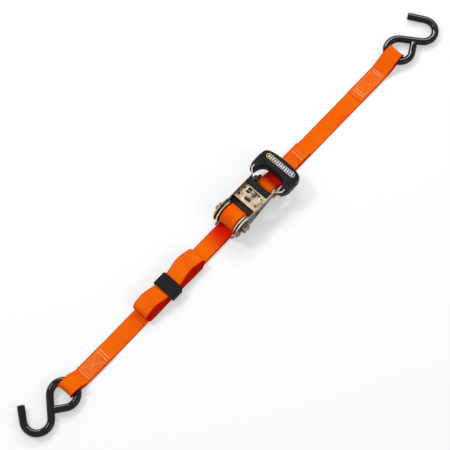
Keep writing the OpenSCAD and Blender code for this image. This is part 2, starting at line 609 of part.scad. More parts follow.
module rounded_box(y0, y1, z0, z1, r) hull() for (y = [y0 + r, y1 - r], z = [z0 + r, z1 - r])
  translate([y, z]) circle(r = r, $fn = 24);
keeper_top = mid_z(-keeper_x) + (fold_rounds - 0.5) * pitch + web_t / 2 + 0.25;
module keeper_band() color("black") translate([-keeper_x - keeper_w / 2, 0, 0]) rotate([90, 0, 90])
  linear_extrude(keeper_w) difference() {
    rounded_box(-web_w / 2 - 0.2 - keeper_t, web_w / 2 + fold_shift + 0.2 + keeper_t, 0, keeper_top + keeper_t, 3);
    rounded_box(-web_w / 2 - 0.2, web_w / 2 + fold_shift + 0.2, keeper_t, keeper_top, 0.3);
  }

// ---- Short strap: a sewn loop round the anchor sleeve ----
anchor_loop_r = sleeve_r + fit + web_t / 2;
anchor_c = [anchor_x, anchor_z];
short_x1 = right_eye - right_loop - seam_gap;
upper_a = 68;
lower_a = 260;
ply_z = 1.5 * web_t - 0.02;      // the upper ply is sewn down on the lower one
short_path = concat(arc(anchor_c, anchor_loop_r, upper_a, lower_a, 16),
  [[ply_meet - 12, web_t / 2 + 0.15], [ply_meet - 6, web_t / 2], [short_x1 - seam_len, web_t / 2]]);
module short_strap() color("orangered") slab(web_w) {
  polygon(concat(side_line(short_path, web_t / 2), sewn(short_x1 - seam_len), [[short_x1, 0]],
    reversed(side_line(short_path, -web_t / 2))));
  polygon(ribbon([[ply_end, ply_z], [ply_meet + 5, ply_z], [ply_meet, ply_z + 0.5],
    anchor_c + polar(anchor_loop_r, upper_a + 1)], web_t));
}

module placed() translate([-floor_x0 - floor_len / 2, 0, 0]) children();

// ---- Least gaps of the wound forms to themselves, measured on their centrelines ----
function least_gap(p, apart) = min([for (i = [0 : len(p) - 1], j = [i + 1 : len(p) - 1])
  if (norm(p[i] - p[j]) < 3 * pitch && path_len([for (k = [i : j]) p[k]]) > apart) norm(p[i] - p[j])]) - web_t;
echo(winding_gap = least_gap(winding_path, 9), tail_gap = least_gap(tail_path, 9));

placed() base_frame();
placed() anchor_bolt();
placed() anchor_nut();
placed() anchor_sleeve();
placed() lock_pawl();
placed() lock_spring();
placed() handle_frame();
placed() handle_grip();
placed() grip_inlay();
placed() grip_bolt();
placed() grip_nut();
placed() drive_pawl();
placed() finger_bar();
placed() drive_spring();
placed() spool_half_a();
placed() spool_half_b();
placed() ratchet_wheels();
placed() spool_washers();
placed() split_pins();
placed() strap_winding();
placed() main_strap();
placed() folded_tail();
placed() keeper_band();
placed() short_strap();
placed() left_strap_loop();
placed() right_strap_loop();
placed() left_hook_rod();
placed() left_hook_coat();
placed() right_hook_rod();
placed() right_hook_coat();
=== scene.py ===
"""Looks of the ratchet tie down.

Lengths are in millimetres, along X from the spool's axis, until place() turns them into the row frame.
"""
import json
import math

import bmesh
import bpy
import numpy as np
from mathutils import Matrix, Vector

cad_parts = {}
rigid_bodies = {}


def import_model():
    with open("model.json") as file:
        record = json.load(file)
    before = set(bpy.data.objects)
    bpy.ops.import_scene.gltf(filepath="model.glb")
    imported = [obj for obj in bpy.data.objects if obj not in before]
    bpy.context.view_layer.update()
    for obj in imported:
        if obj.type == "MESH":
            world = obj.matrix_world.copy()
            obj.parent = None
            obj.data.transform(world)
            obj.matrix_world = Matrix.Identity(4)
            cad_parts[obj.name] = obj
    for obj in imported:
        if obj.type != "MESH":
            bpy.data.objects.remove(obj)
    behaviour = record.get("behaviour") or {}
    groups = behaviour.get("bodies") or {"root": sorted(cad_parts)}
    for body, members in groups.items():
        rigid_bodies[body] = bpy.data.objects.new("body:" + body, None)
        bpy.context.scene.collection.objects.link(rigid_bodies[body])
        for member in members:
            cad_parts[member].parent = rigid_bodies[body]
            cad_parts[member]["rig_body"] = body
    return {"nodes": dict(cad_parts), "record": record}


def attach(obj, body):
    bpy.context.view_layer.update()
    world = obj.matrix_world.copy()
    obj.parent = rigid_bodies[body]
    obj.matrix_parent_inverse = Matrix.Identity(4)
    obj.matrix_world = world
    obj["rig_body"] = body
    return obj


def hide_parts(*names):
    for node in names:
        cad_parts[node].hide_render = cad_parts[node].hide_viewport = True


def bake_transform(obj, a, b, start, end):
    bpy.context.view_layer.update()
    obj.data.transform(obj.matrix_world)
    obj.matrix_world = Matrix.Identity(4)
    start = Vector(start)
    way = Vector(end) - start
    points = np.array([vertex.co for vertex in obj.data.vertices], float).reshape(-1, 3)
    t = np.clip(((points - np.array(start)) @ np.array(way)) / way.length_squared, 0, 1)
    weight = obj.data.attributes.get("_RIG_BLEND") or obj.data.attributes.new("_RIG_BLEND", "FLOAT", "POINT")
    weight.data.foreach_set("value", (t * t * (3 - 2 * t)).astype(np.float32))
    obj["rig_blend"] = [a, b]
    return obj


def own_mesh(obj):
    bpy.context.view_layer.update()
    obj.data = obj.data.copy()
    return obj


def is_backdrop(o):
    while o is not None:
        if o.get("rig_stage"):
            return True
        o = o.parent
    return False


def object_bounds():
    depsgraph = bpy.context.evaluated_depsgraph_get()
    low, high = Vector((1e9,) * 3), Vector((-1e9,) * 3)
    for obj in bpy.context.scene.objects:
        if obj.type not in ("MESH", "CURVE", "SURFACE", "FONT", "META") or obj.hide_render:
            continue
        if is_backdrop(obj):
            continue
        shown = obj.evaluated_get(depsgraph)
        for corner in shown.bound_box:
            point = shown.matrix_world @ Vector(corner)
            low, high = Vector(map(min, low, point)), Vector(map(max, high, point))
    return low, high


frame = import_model()
CAD_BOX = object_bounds()
NODES = frame["nodes"]
scene = bpy.context.scene
MM = 0.001
ORIGIN_X = 37.5  # the row frame's origin, from the spool's axis
SPOOL_Z = 18.5
WEB_W, WEB_T = 25.4, 1.3
TAU = 2 * math.pi


def place(points):
    """Millimetres from the spool's axis to metres in the row frame."""
    p = np.asarray(points, float) * MM
    p[..., 0] -= ORIGIN_X * MM
    return p


def linked(name, data):
    """A new object in the scene."""
    o = bpy.data.objects.new(name, data)
    scene.collection.objects.link(o)
    return o


# ---- Camera and lamps ----
AZIMUTH, ELEVATION, DISTANCE, LENS = math.radians(-47.67), math.radians(69), 2.0, 117.65
BACK = Vector((math.sin(AZIMUTH) * math.cos(ELEVATION), -math.cos(AZIMUTH) * math.cos(ELEVATION),
               math.sin(ELEVATION)))
RIGHT = Vector((math.cos(AZIMUTH), math.sin(AZIMUTH), 0))
UP = BACK.cross(RIGHT)
TARGET = Vector(place([-9.4, 5.4, 0]))


def look(location, target, roll_up=Vector((0, 0, 1))):
    """The matrix of a camera or lamp that faces target."""
    z = (Vector(location) - Vector(target)).normalized()
    x = roll_up.cross(z).normalized()
    return Matrix.Translation(location) @ Matrix((x, z.cross(x), z)).transposed().to_4x4()


camera = linked("camera", bpy.data.cameras.new("camera"))
camera.data.lens, camera.data.sensor_width, camera.data.clip_end = LENS, 36, 20
camera.matrix_world = look(TARGET + BACK * DISTANCE, TARGET)
scene.camera = camera
scene.view_settings.view_transform = "Standard"


def lamp(name, side, up, back, distance, size, power, diffuse=True, gloss=True):
    """An area lamp set off from the target along the picture's right, up and towards the camera."""
    light = bpy.data.lights.new(name, "AREA")
    light.shape, light.size, light.size_y, light.energy = "RECTANGLE", size[0], size[1], power
    o = linked(name, light)
    offset = (RIGHT * side + UP * up + BACK * back).normalized() * distance
    o.matrix_world = look(TARGET + offset, TARGET, UP)
    o.visible_diffuse, o.visible_glossy = diffuse, gloss
    return o


lamp("key", -0.75, 0.7, 0.75, 2.2, (0.45, 0.45), 15)
lamp("fill", 0.9, -0.35, 0.8, 2.4, (1.2, 1.2), 8)
lamp("strip", 0.05, 1.0, 0.34, 1.8, (1.6, 0.22), 13, gloss=False)
# Only the hooks' dipped coats are lit by this one, for the streak along them
HIGHLIGHT = lamp("highlight", -0.10, 1.0, 0.30, 1.8, (1.9, 0.40), 62, diffuse=False)


# ---- Shader nodes ----
class Nodes:
    """Short names for the shader nodes that the materials share."""

    def __init__(self, owner):
        owner.use_nodes = True
        self.tree = owner.node_tree
        self.tree.nodes.clear()

    def add(self, kind, settings=(), **inputs):
        """A node. Its inputs go by their names, or by their numbers as i0, i1 and so on."""
        n = self.tree.nodes.new("ShaderNode" + kind)
        for k, v in dict(settings).items():
            setattr(n, k, v)
        for k, v in inputs.items():
            self.put(n, int(k[1:]) if k[1:].isdigit() else k.replace("_", " "), v)
        return n

    def put(self, n, key, v):
        socket = n.inputs[key]
        if isinstance(v, bpy.types.NodeSocket):
            self.tree.links.new(v, socket)
        else:
            socket.default_value = (*v, 1) if socket.type == "RGBA" else v

    def math(self, op, a, b=0.0, c=0.0):
        return self.add("Math", {"operation": op}, i0=a, i1=b, i2=c).outputs[0]

    def linear(self, value, factor, start):
        """value * factor + start."""
        return self.math("MULTIPLY_ADD", value, factor, start)

    def share(self, value, span):
        """Takes a span about 0 to the range from 0 to 1."""
        return self.linear(value, 1 / span, 0.5)

    def total(self, value, *others):
        for v in others:
            value = self.math("ADD", value, v)
        return value

    def product(self, value, *others):
        for v in others:
            value = self.math("MULTIPLY", value, v)
        return value

    def clamped(self, value):
        return self.math("MAXIMUM", self.math("MINIMUM", value, 1.0), 0.0)

    def distance(self, a, b):
        return self.math("ABSOLUTE", self.math("SUBTRACT", a, b))

    def wave(self, kind, angle):
        """A sine or cosine drawn up from -1..1 to 0..1."""
        return self.linear(self.math(kind, angle), 0.5, 0.5)

    def mix(self, factor, a, b):
        return self.add("Mix", {"data_type": "RGBA"}, i0=factor, i6=a, i7=b).outputs[2]

    def ramp(self, value, *stops):
        """A ramp of greys; each stop is a place on it and a grey."""
        n = self.add("ValToRGB", Fac=value)
        r = n.color_ramp
        while len(r.elements) < len(stops):
            r.elements.new(0.5)
        for e, (at, grey) in zip(r.elements, stops):
            e.position, e.color = at, (grey, grey, grey, 1)
        return n.outputs[0]

    def noise(self, vector, scale, detail=2.0, rough=0.5):
        """Noise of one scale, or drawn out by a scale for each axis."""
        if isinstance(scale, tuple):
            vector = self.add("VectorMath", {"operation": "MULTIPLY"}, i0=vector, i1=scale).outputs[0]
            scale = 1.0
        return self.add("TexNoise", Vector=vector, Scale=scale, Detail=detail, Roughness=rough).outputs["Fac"]

    def bump(self, height, distance, strength, normal=None):
        n = self.add("Bump", Height=height, Distance=distance, Strength=strength)
        if normal is not None:
            self.put(n, "Normal", normal)
        return n.outputs[0]

    def xyz(self, vector):
        return self.add("SeparateXYZ", Vector=vector).outputs

    def attribute(self, name, out):
        return self.add("Attribute", {"attribute_name": name}).outputs[out]


def material(name, build, **fixed):
    """A principled material with fixed inputs and those that build makes, from the place in metres."""
    m = bpy.data.materials.new(name)
    n = Nodes(m)
    shader = n.add("BsdfPrincipled")
    for k, v in {**fixed, **build(n, n.add("TexCoord").outputs["Object"])}.items():
        n.put(shader, k.replace("_", " "), v)
    n.put(n.add("OutputMaterial"), "Surface", shader.outputs[0])
    return m


def seen_colour(n, shown, lit):
    """Camera, glossy and transmission rays get the shown colour, other rays the lit one."""
    rays = n.add("LightPath").outputs
    other = n.math("MAXIMUM", rays["Is Glossy Ray"], rays["Is Transmission Ray"])
    return n.mix(n.math("MAXIMUM", rays["Is Camera Ray"], other), lit, shown)


# ---- World and floor ----
world = bpy.data.worlds.new("studio")
scene.world = world
w = Nodes(world)
w.put(w.add("OutputWorld"), "Surface",
      w.add("Background", Color=seen_colour(w, (0.93, 0.93, 0.94), (0.48, 0.49, 0.50)), Strength=1.0).outputs[0])

floor_material = bpy.data.materials.new("pale_floor")
f = Nodes(floor_material)
paint = f.add("BsdfDiffuse", Color=(0.60, 0.60, 0.60))
glow = f.add("Emission", Color=seen_colour(f, (0.40, 0.40, 0.40), (0.0, 0.0, 0.0)), Strength=1.0)
f.put(f.add("OutputMaterial"), "Surface", f.add("AddShader", i0=paint.outputs[0], i1=glow.outputs[0]).outputs[0])
FLOOR_REACH = 6.0
floor = linked("floor", bpy.data.meshes.new("floor"))
floor.data.from_pydata([(x * FLOOR_REACH, y * FLOOR_REACH, 0) for x, y in ((-1, -1), (1, -1), (1, 1), (-1, 1))], [],
                       [(0, 1, 2, 3)])
floor.data.materials.append(floor_material)
floor.location.z = -0.0002  # just under the straps, which lie at 0
floor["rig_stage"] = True


# ---- Mesh helpers ----
def solid(name, verts, faces, finish, st=None, painted_shade=None):
    """A smooth object from points in millimetres, with the strap coordinates st and the painted shade per point."""
    mesh = bpy.data.meshes.new(name)
    mesh.from_pydata(place(verts).tolist(), [], faces)
    mesh.materials.append(finish)
    for attribute, kind, field, values in (("st", "FLOAT_VECTOR", "vector", st), ("painted_shade", "FLOAT", "value", painted_shade)):
        if values is not None:
            data = mesh.attributes.new(attribute, kind, "POINT").data
            data.foreach_set(field, np.asarray(values, np.float32).ravel())
    mesh.shade_smooth()
    mesh.update()
    return linked(name, mesh)


def in_millimetres(mesh):
    """A mesh's points, in millimetres from the spool's axis."""
    co = np.zeros(len(mesh.vertices) * 3)
    mesh.vertices.foreach_get("co", co)
    return co.reshape(-1, 3) / MM + [ORIGIN_X, 0, 0]


def reshape(o, change):
    """Moves a mesh's points with a function of their places in millimetres."""
    o.data.vertices.foreach_set("co", place(change(in_millimetres(o.data))).ravel())
    o.data.update()


def joined(parts):
    """One list of points and one of faces from several pairs of them."""
    verts, faces = [], []
    for v, q in parts:
        faces += [[i + len(verts) for i in face] for face in q]
        verts += list(v)
    return verts, faces


def lengths(p):
    """How far along a line each of its points lies."""
    return np.concatenate([[0], np.cumsum(np.linalg.norm(np.diff(p, axis=0), axis=1))])


def resample(p, step):
    """The same line with points about step apart."""
    s = lengths(p)
    n = max(int(round(s[-1] / step)), 2)
    t = np.linspace(0, s[-1], n + 1)
    return np.stack([np.interp(t, s, p[:, k]) for k in range(p.shape[1])], axis=1)


def rounded(p):
    """The same open line with its corners cut twice."""
    for _ in range(2):
        q = np.empty((2 * len(p), p.shape[1]))
        q[0], q[-1] = p[0], p[-1]
        q[1:-1:2] = 0.75 * p[:-1] + 0.25 * p[1:]
        q[2:-1:2] = 0.25 * p[:-1] + 0.75 * p[1:]
        p = q
    return p


def unit(v):
    return v / np.maximum(np.linalg.norm(v, axis=-1, keepdims=True), 1e-12)


def tangents(p):
    """Unit steps along an open line."""
    return unit(np.gradient(p, axis=0))


def capped_faces(rows, cols):
    """The sides of a tube of rings, each of cols points, and its two ends."""
    i, j = np.meshgrid(np.arange(rows - 1) * cols, np.arange(cols), indexing="ij")
    k = (j + 1) % cols
    sides = np.stack([i + j, i + k, i + cols + k, i + cols + j], -1).reshape(-1, 4).tolist()
    return sides + [list(range(cols))[::-1], list(range((rows - 1) * cols, rows * cols))]


def closed_faces(rows, cols):
    """The sides of a tube that runs round in a circle, its last ring joined to its first."""
    i, j = np.meshgrid(np.arange(rows) * cols, np.arange(cols), indexing="ij")
    k, far = (j + 1) % cols, (i + cols) % (rows * cols)
    return np.stack([far + j, far + k, i + k, i + j], -1).reshape(-1, 4).tolist()


def web_section(width, thick, spans=14):
    """Rounded cross-section of webbing: across and up, anticlockwise."""
    h, r = width / 2, thick / 2
    core = np.linspace(-h + r, h - r, spans)
    ends = np.radians([60, 30, 0, -30, -60])
    right = np.stack([h - r + r * np.cos(ends), r * np.sin(ends)], 1)
    left = np.stack([-(h - r) - r * np.cos(ends[::-1]), r * np.sin(ends[::-1])], 1)
    return np.concatenate([np.stack([core, np.full(spans, r)], 1), right,
                           np.stack([core[::-1], np.full(spans, -r)], 1), left])


def web(name, line, painted_shade, step, shift=None, width=None, s0=0.0):
    """A closed strip of webbing along a line, from (x, z) points. shift moves it sideways, width narrows it
    and its painted shade reddens it where shade falls, each a function of the length along it and of its points. Its
    weave starts at s0."""
    p = resample(np.stack([line[:, 0], np.zeros(len(line)), line[:, 1]], 1), step)
    s = lengths(p)
    side = np.array([0.0, 1.0, 0.0])
    normal = np.cross(tangents(p), side)
    if shift is not None:
        p = p + side * shift(s, p)[:, None]
    w = np.full(len(p), WEB_W) if width is None else width(s, p)
    section = web_section(WEB_W, WEB_T)
    verts = p[:, None] + side * section[:, :1] * (w / WEB_W)[:, None, None] + normal[:, None] * section[:, 1:]
    st = np.stack(np.broadcast_arrays(s[:, None] + s0, section[:, 0], np.sign(section[:, 1])), -1)
    shade = np.broadcast_to(painted_shade(s, p)[:, None], st.shape[:2])
    return solid(name, verts.reshape(-1, 3), capped_faces(*st.shape[:2]), WEBBING, st.reshape(-1, 3) * MM, shade)


# A tube's rounded ends: how far out each ring lies and how wide it is, against the radius
CAP = [(0.0, 1.0), (0.12, 0.985), (0.21, 0.93), (0.27, 0.83), (0.30, 0.68), (0.3075, 0.36)]


def tube(name, line, radius, finish, sides, step):
    """A round bar along a smooth line. radius is a number, or lengths along it and the radii there."""
    p = resample(line, step)
    r = np.full(len(p), float(radius)) if np.isscalar(radius) else np.interp(lengths(p), *radius)
    t = tangents(p)
    u = unit(np.cross(t[0], [0.3, 0.2, 1.0]))
    us = []
    for along in t:
        u = unit(u - along * np.dot(u, along))
        us.append(u)
    vs = np.cross(t, us)
    rows = [(0, -push * r[0], scale * r[0]) for push, scale in CAP[::-1]]
    rows += [(k, 0.0, r[k]) for k in range(1, len(p) - 1)]
    rows += [(-1, push * r[-1], scale * r[-1]) for push, scale in CAP]
    verts = [p[k] + t[k] * push + (us[k] * math.cos(x) + vs[k] * math.sin(x)) * q
             for k, push, q in rows for x in np.linspace(0, TAU, sides, endpoint=False)]
    return solid(name, verts, capped_faces(len(rows), sides), finish)


def smoothstep(t):
    t = np.clip(t, 0, 1)
    return t * t * (3 - 2 * t)


def arc(c, r, a0, a1, n):
    """Points round c from the angle a0 to a1, in degrees."""
    a = np.radians(np.linspace(a0, a1, n + 1))
    return np.stack([c[0] + r * np.cos(a), c[1] + r * np.sin(a)], 1)


def turned(p, a):
    """Plane points turned about the origin by a, in radians."""
    return p @ np.array([[math.cos(a), math.sin(a)], [-math.sin(a), math.cos(a)]])


def rounded_rectangle(x0, x1, y0, y1, r, n, step):
    """A closed outline, anticlockwise, with n points to each corner before it is evened out."""
    corners = ((x1 - r, y0 + r, -90), (x1 - r, y1 - r, 0), (x0 + r, y1 - r, 90), (x0 + r, y0 + r, 180))
    ring = np.concatenate([arc((cx, cy), r, a, a + 90, n - 1) for cx, cy, a in corners])
    return resample(np.concatenate([ring, ring[:1]]), step)[:-1]


def finish_piece(o, body, slot, *nodes):
    """Says what a piece rides on, and hides the solids whose place it takes. slot is not used."""
    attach(o, body)
    if nodes:
        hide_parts(*nodes)
    return o


# ---- Materials: their lengths are in metres ----
ORANGE, AMBER = (0.90, 0.130, 0.0012), (0.92, 0.205, 0.002)
# Painted shade: the red the webbing takes where shade falls, and a dark painted line along its selvedge
SHADE_RED, SELVEDGE_SHADE = (0.92, 0.012, 0.003), (0.16, 0.012, 0.003)
YARN, RIB = 0.00115, 0.0031  # a warp yarn's width, and two ribs of the weft
WOBBLE = 0.0009  # how far the yarns wander
SHADE_EDGE, SHADE_EDGE_FADE = 0.0110, 0.0014  # how far out the redder edge starts, and its fade


def webbing(n, p):
    """Orange weave by the strap coordinates: s along the strap and t across it from its middle."""
    st = n.attribute("st", "Vector")
    s, t, _ = n.xyz(st)
    wobble = n.product(n.math("SUBTRACT", n.noise(st, 220), 0.5), WOBBLE)
    # Warp yarns run along the strap and pass over and under the ribs of the weft by turns
    column = n.product(n.total(t, n.product(wobble, 0.35)), 1 / YARN)
    yarn = n.math("ABSOLUTE", n.math("SINE", n.product(column, math.pi)))
    odd = n.product(n.math("MODULO", n.math("FLOOR", n.total(column, 100)), 2.0), math.pi)
    along = n.product(n.total(s, wobble), TAU / RIB)
    over = n.wave("SINE", n.total(along, odd))
    rib = n.wave("COSINE", n.product(along, 2.0))
    weave = n.total(n.product(yarn, over, 0.6), n.product(rib, 0.45))
    fibre = n.noise(st, (500, 9000, 4000), 3)
    base = n.mix(n.ramp(n.noise(p, 26, 3), (0.34, 0.0), (0.68, 1.0)), ORANGE, AMBER)
    # Painted shade: redder in the pits of the weave, towards its edges and where the painted shade per point says
    off = n.math("ABSOLUTE", t)
    edge = n.clamped(n.product(n.math("SUBTRACT", off, SHADE_EDGE), 1 / SHADE_EDGE_FADE))
    shade_share = n.math("MINIMUM", n.total(n.product(edge, 0.85), n.attribute("painted_shade", "Fac")), 1.0)
    pit_shade = n.product(n.math("SUBTRACT", 1.0, weave), 0.34)
    colour = n.mix(n.clamped(n.total(shade_share, pit_shade)), base, SHADE_RED)
    # Painted shade: a dark line along the selvedge
    rim = n.ramp(n.product(off, 2 / (WEB_W * MM)), (0.930, 0.0), (0.950, 0.8), (0.980, 0.8), (0.992, 0.0))
    return {"Base Color": n.mix(rim, colour, SELVEDGE_SHADE), "Roughness": n.linear(fibre, 0.18, 0.52),
            "Normal": n.bump(n.total(weave, n.product(fibre, 0.16)), 0.00028, 0.75)}


WEBBING = material("webbing", webbing, Specular_IOR_Level=0.03, Sheen_Weight=0.005, Sheen_Roughness=0.4,
                   Sheen_Tint=(1.0, 0.55, 0.25))


# Beads pressed round the handle plate's windows: middle and half size in plan. Painted shade along the plate's
# bends:
# its side, where it starts, is full and ends as shares of the shade's span from the middle, and its strength.
BEADS = [(40.8, 4.3, 10.0), (29.7, 2.2, 5.0)]
BEAD_OFF, BEAD_WIDTH, BEAD_HEIGHT = 0.0013, 0.0007, 0.0006
BEND_SHADE_BROWN, BEND_SHADE_SPAN = (0.060, 0.030, 0.018), 0.030
BEND_SHADE_BANDS = [(1, 0.38, 0.54, 0.80, 0.95), (-1, 0.50, 0.57, 0.61, 0.4)]
DRAWN_LINES = (60, 1700, 1700)


def pressed_bead(n, p, centre, half_x, half_y):
    """Height of a bead pressed round a rectangle in plan, 1 on its line."""
    x, y, _ = n.xyz(p)
    past = [n.math("MAXIMUM", n.math("SUBTRACT", n.distance(value, middle * MM), half * MM), 0.0)
            for value, middle, half in ((x, centre - ORIGIN_X, half_x), (y, 0, half_y))]
    distance = n.math("SQRT", n.total(*(n.product(d, d) for d in past)))
    off = n.product(n.math("SUBTRACT", distance, BEAD_OFF), 1 / BEAD_WIDTH)
    square = n.product(off, off)
    return n.math("DIVIDE", 1.0, n.linear(square, square, 1.0))


def zinc(light, deep, blush, rough, beads=(), bend_shade=()):
    """Zinc plate: cloudy in its colour, drawn lines along the sheet, darker pores, and painted shade along its
    bends.
    """
    def build(n, p):
        cloud = n.noise(p, 75, 3, 0.55)
        pores = n.noise(p, 1500)
        base = n.mix(n.ramp(cloud, (0.40, 0.0), (0.60, 1.0)), light, deep)
        base = n.mix(n.product(n.ramp(n.noise(p, 34), (0.50, 0.0), (0.72, 1.0)), 0.6), base, blush)
        base = n.mix(n.ramp(pores, (0.66, 0.0), (0.80, 0.45)), base, (0.22, 0.18, 0.12))
        x, y, _ = n.xyz(p)
        ragged = n.linear(n.noise(p, 230, 3, 0.6), 0.010, -0.005)
        # Painted shade: a dark brown band along each bend of the plate
        for side, start, full, end, amount in bend_shade:
            reach = n.total(n.product(y, side), n.linear(x, 0.15, ragged))
            stops = (start, 0.0), (full, amount), (end, amount), (end + 0.02, 0.0)
            base = n.mix(n.ramp(n.math("DIVIDE", reach, BEND_SHADE_SPAN), *stops), base, BEND_SHADE_BROWN)
        drawn = n.noise(p, DRAWN_LINES, 3)
        normal = n.bump(n.total(n.product(drawn, 0.5), n.product(pores, 0.3)), 0.00003, 0.5)
        for bead in beads:
            normal = n.bump(pressed_bead(n, p, *bead), BEAD_HEIGHT, 1.0, normal)
        return {"Base Color": base, "Roughness": n.total(n.product(cloud, 0.16), rough - 0.06), "Normal": normal}
    return build


METALS = {name: material(name, zinc(*args), Metallic=1.0) for name, args in {
    "gold_zinc": ((0.90, 0.73, 0.55), (0.46, 0.31, 0.18), (0.92, 0.62, 0.55), 0.26, BEADS, BEND_SHADE_BANDS),
    # Painted shade: a dark copy of the gold zinc for the plates' sideways faces
    "gold_zinc_shaded_sides": ((0.065, 0.050, 0.034), (0.022, 0.017, 0.013), (0.062, 0.041, 0.029), 0.26),
    "silver_zinc": ((0.34, 0.30, 0.25), (0.07, 0.06, 0.05), (0.36, 0.26, 0.17), 0.2),
    "dark_steel": ((0.13, 0.115, 0.10), (0.055, 0.05, 0.045), (0.17, 0.125, 0.085), 0.36),
    "spring_steel": ((0.62, 0.60, 0.56), (0.40, 0.38, 0.36), (0.60, 0.52, 0.42), 0.3)}.items()}


def zinc_with_painted_shade(n, p):
    """The drive pawl's plate: bright zinc away from the wheels, with painted shade that darkens it towards them."""
    x = n.total(n.xyz(p)[0], n.product(n.noise(p, 300), 0.004))
    # Painted shade: the plate turns dark towards the wheels
    out_of_shade = n.ramp(n.share(x, 0.030), (0.33, 0.0), (0.52, 1.0))
    base = n.mix(n.ramp(n.noise(p, 90, 3), (0.40, 0.0), (0.62, 1.0)), (0.95, 0.95, 0.94), (0.86, 0.84, 0.80))
    return {"Base Color": n.mix(out_of_shade, (0.07, 0.05, 0.035), base),
            "Roughness": n.linear(out_of_shade, -0.36, 0.46),
            "Normal": n.bump(n.noise(p, DRAWN_LINES, 3), 0.00001, 0.5)}


SHADED_PAWL_ZINC = material("zinc_with_painted_shade", zinc_with_painted_shade, Metallic=0.9)


def moulded_black(colour, worn, grain):
    """Moulded plastic with a fine grain, rubbed paler here and there."""
    def build(n, p):
        fine = n.noise(p, grain, 3, 0.6)
        cells = n.add("TexVoronoi", Vector=p, Scale=grain * 0.55).outputs["Distance"]
        rub = n.product(n.ramp(n.noise(p, 45, 3), (0.45, 0.0), (0.75, 1.0)), 0.7)
        height = n.total(n.product(fine, 0.6), n.product(cells, 0.6))
        return {"Base Color": n.mix(rub, colour, worn),
                "Roughness": n.linear(fine, 0.22, 0.34), "Normal": n.bump(height, 0.00009, 0.55)}
    return build


GRIP, BAR = (material(name, moulded_black(*args), Specular_IOR_Level=0.20) for name, *args in (
    ("grip_black", (0.005, 0.005, 0.007), (0.012, 0.012, 0.016), 1500),
    ("bar_black", (0.008, 0.008, 0.009), (0.017, 0.017, 0.019), 1900)))
KEEPER_YARN, KEEPER_RIB = 0.0009, 0.0016


def keeper_weave(n, p):
    """The keeper's finer black weave."""
    st = n.attribute("st", "Vector")
    s, t, _ = n.xyz(st)
    warp = n.math("ABSOLUTE", n.math("SINE", n.product(t, math.pi / KEEPER_YARN)))
    column = n.math("FLOOR", n.linear(t, 1 / KEEPER_YARN, 100))
    weft = n.wave("SINE", n.total(n.product(s, TAU / KEEPER_RIB), n.product(n.math("MODULO", column, 2.0), math.pi)))
    fibre = n.noise(st, 3200, 3)
    height = n.total(n.product(warp, n.total(weft, 0.35)), n.product(fibre, 0.3))
    # Painted shade: darker in the hollows of the weave, lighter on its raised yarns
    return {"Base Color": n.mix(n.product(height, 0.55), (0.006, 0.006, 0.007), (0.024, 0.025, 0.027)),
            "Roughness": n.linear(n.noise(p, 90), 0.2, 0.5), "Normal": n.bump(height, 0.00022, 0.7)}


KEEPER = material("keeper_black", keeper_weave, Specular_IOR_Level=0.10, Sheen_Weight=0.02, Sheen_Roughness=0.5)


def vinyl(n, p):
    """The hooks' dipped coat: glossy, a little uneven, scuffed in short strokes."""
    scuff = n.ramp(n.noise(p, (150, 320, 320), 4, 0.7), (0.64, 0.0), (0.80, 1.0))
    height = n.total(n.product(n.noise(p, 60), 2.4), n.product(n.noise(p, 1400), 0.12))
    return {"Base Color": n.mix(n.product(scuff, 0.5), (0.004, 0.004, 0.0045), (0.016, 0.016, 0.017)),
            "Roughness": n.linear(scuff, 0.18, 0.055), "Normal": n.bump(height, 0.00008, 0.3)}


VINYL = material("vinyl_black", vinyl, Specular_IOR_Level=0.22)


def thread(colour, soiled, scale, share):
    """Sewing thread with a fine twist; noise of this scale takes its colour by this share to the soiled one."""
    def build(n, p):
        return {"Base Color": n.mix(n.product(n.noise(p, scale), share), colour, soiled),
                "Normal": n.bump(n.noise(p, 2600), 0.0001, 0.6)}
    return build


WHITE = material("white_thread", thread((0.90, 0.86, 0.78), (0.86, 0.60, 0.38), 120, 0.8), Roughness=0.6)
PALE_ORANGE = material("orange_thread", thread((0.93, 0.36, 0.06), (0.95, 0.56, 0.20), 2600, 1.0), Roughness=0.55)


def inlay(cool, warm, shade, worn):
    """Plate or raised bars of the grip's inlay, silver towards the front end and yellower towards the back."""
    def build(n, p):
        back = n.ramp(n.share(n.xyz(p)[1], 0.050), (0.40, 0.0), (0.90, 1.0))
        mottle = n.noise(p, 520, 3, 0.7)
        base = n.mix(back, cool, warm)
        base = n.mix(n.ramp(mottle, (0.44, 0.0), (0.60, 0.85)), base, shade)
        base = n.mix(n.ramp(n.noise(p, 170), (0.50, 0.0), (0.70, 0.5)), base, worn)
        return {"Base Color": base, "Roughness": n.linear(mottle, 0.3, 0.22),
                "Normal": n.bump(mottle, 0.0001, 0.6)}
    return build


INLAY = material("inlay_plate", inlay(
    (0.08, 0.11, 0.22), (0.22, 0.18, 0.02), (0.015, 0.015, 0.018), (0.16, 0.13, 0.08)), Metallic=0.4)
INLAY_RAISED = material("inlay_raised", inlay(
    (0.90, 0.92, 0.98), (0.88, 0.78, 0.22), (0.62, 0.61, 0.60), (0.95, 0.88, 0.74)), Metallic=0.7)

# The solid model's parts that stay, and the three that are copied with their edges broken
for names, finish in (("base_frame handle_frame", METALS["gold_zinc"]), ("drive_pawl", SHADED_PAWL_ZINC),
                      ("anchor_sleeve spool_half_a spool_half_b spool_washers", METALS["silver_zinc"]),
                      ("anchor_bolt anchor_nut lock_pawl ratchet_wheels", METALS["dark_steel"]),
                      ("split_pins", METALS["spring_steel"])):
    for node in names.split():
        slots = NODES[node].data.materials
        slots.clear()
        slots.append(finish)


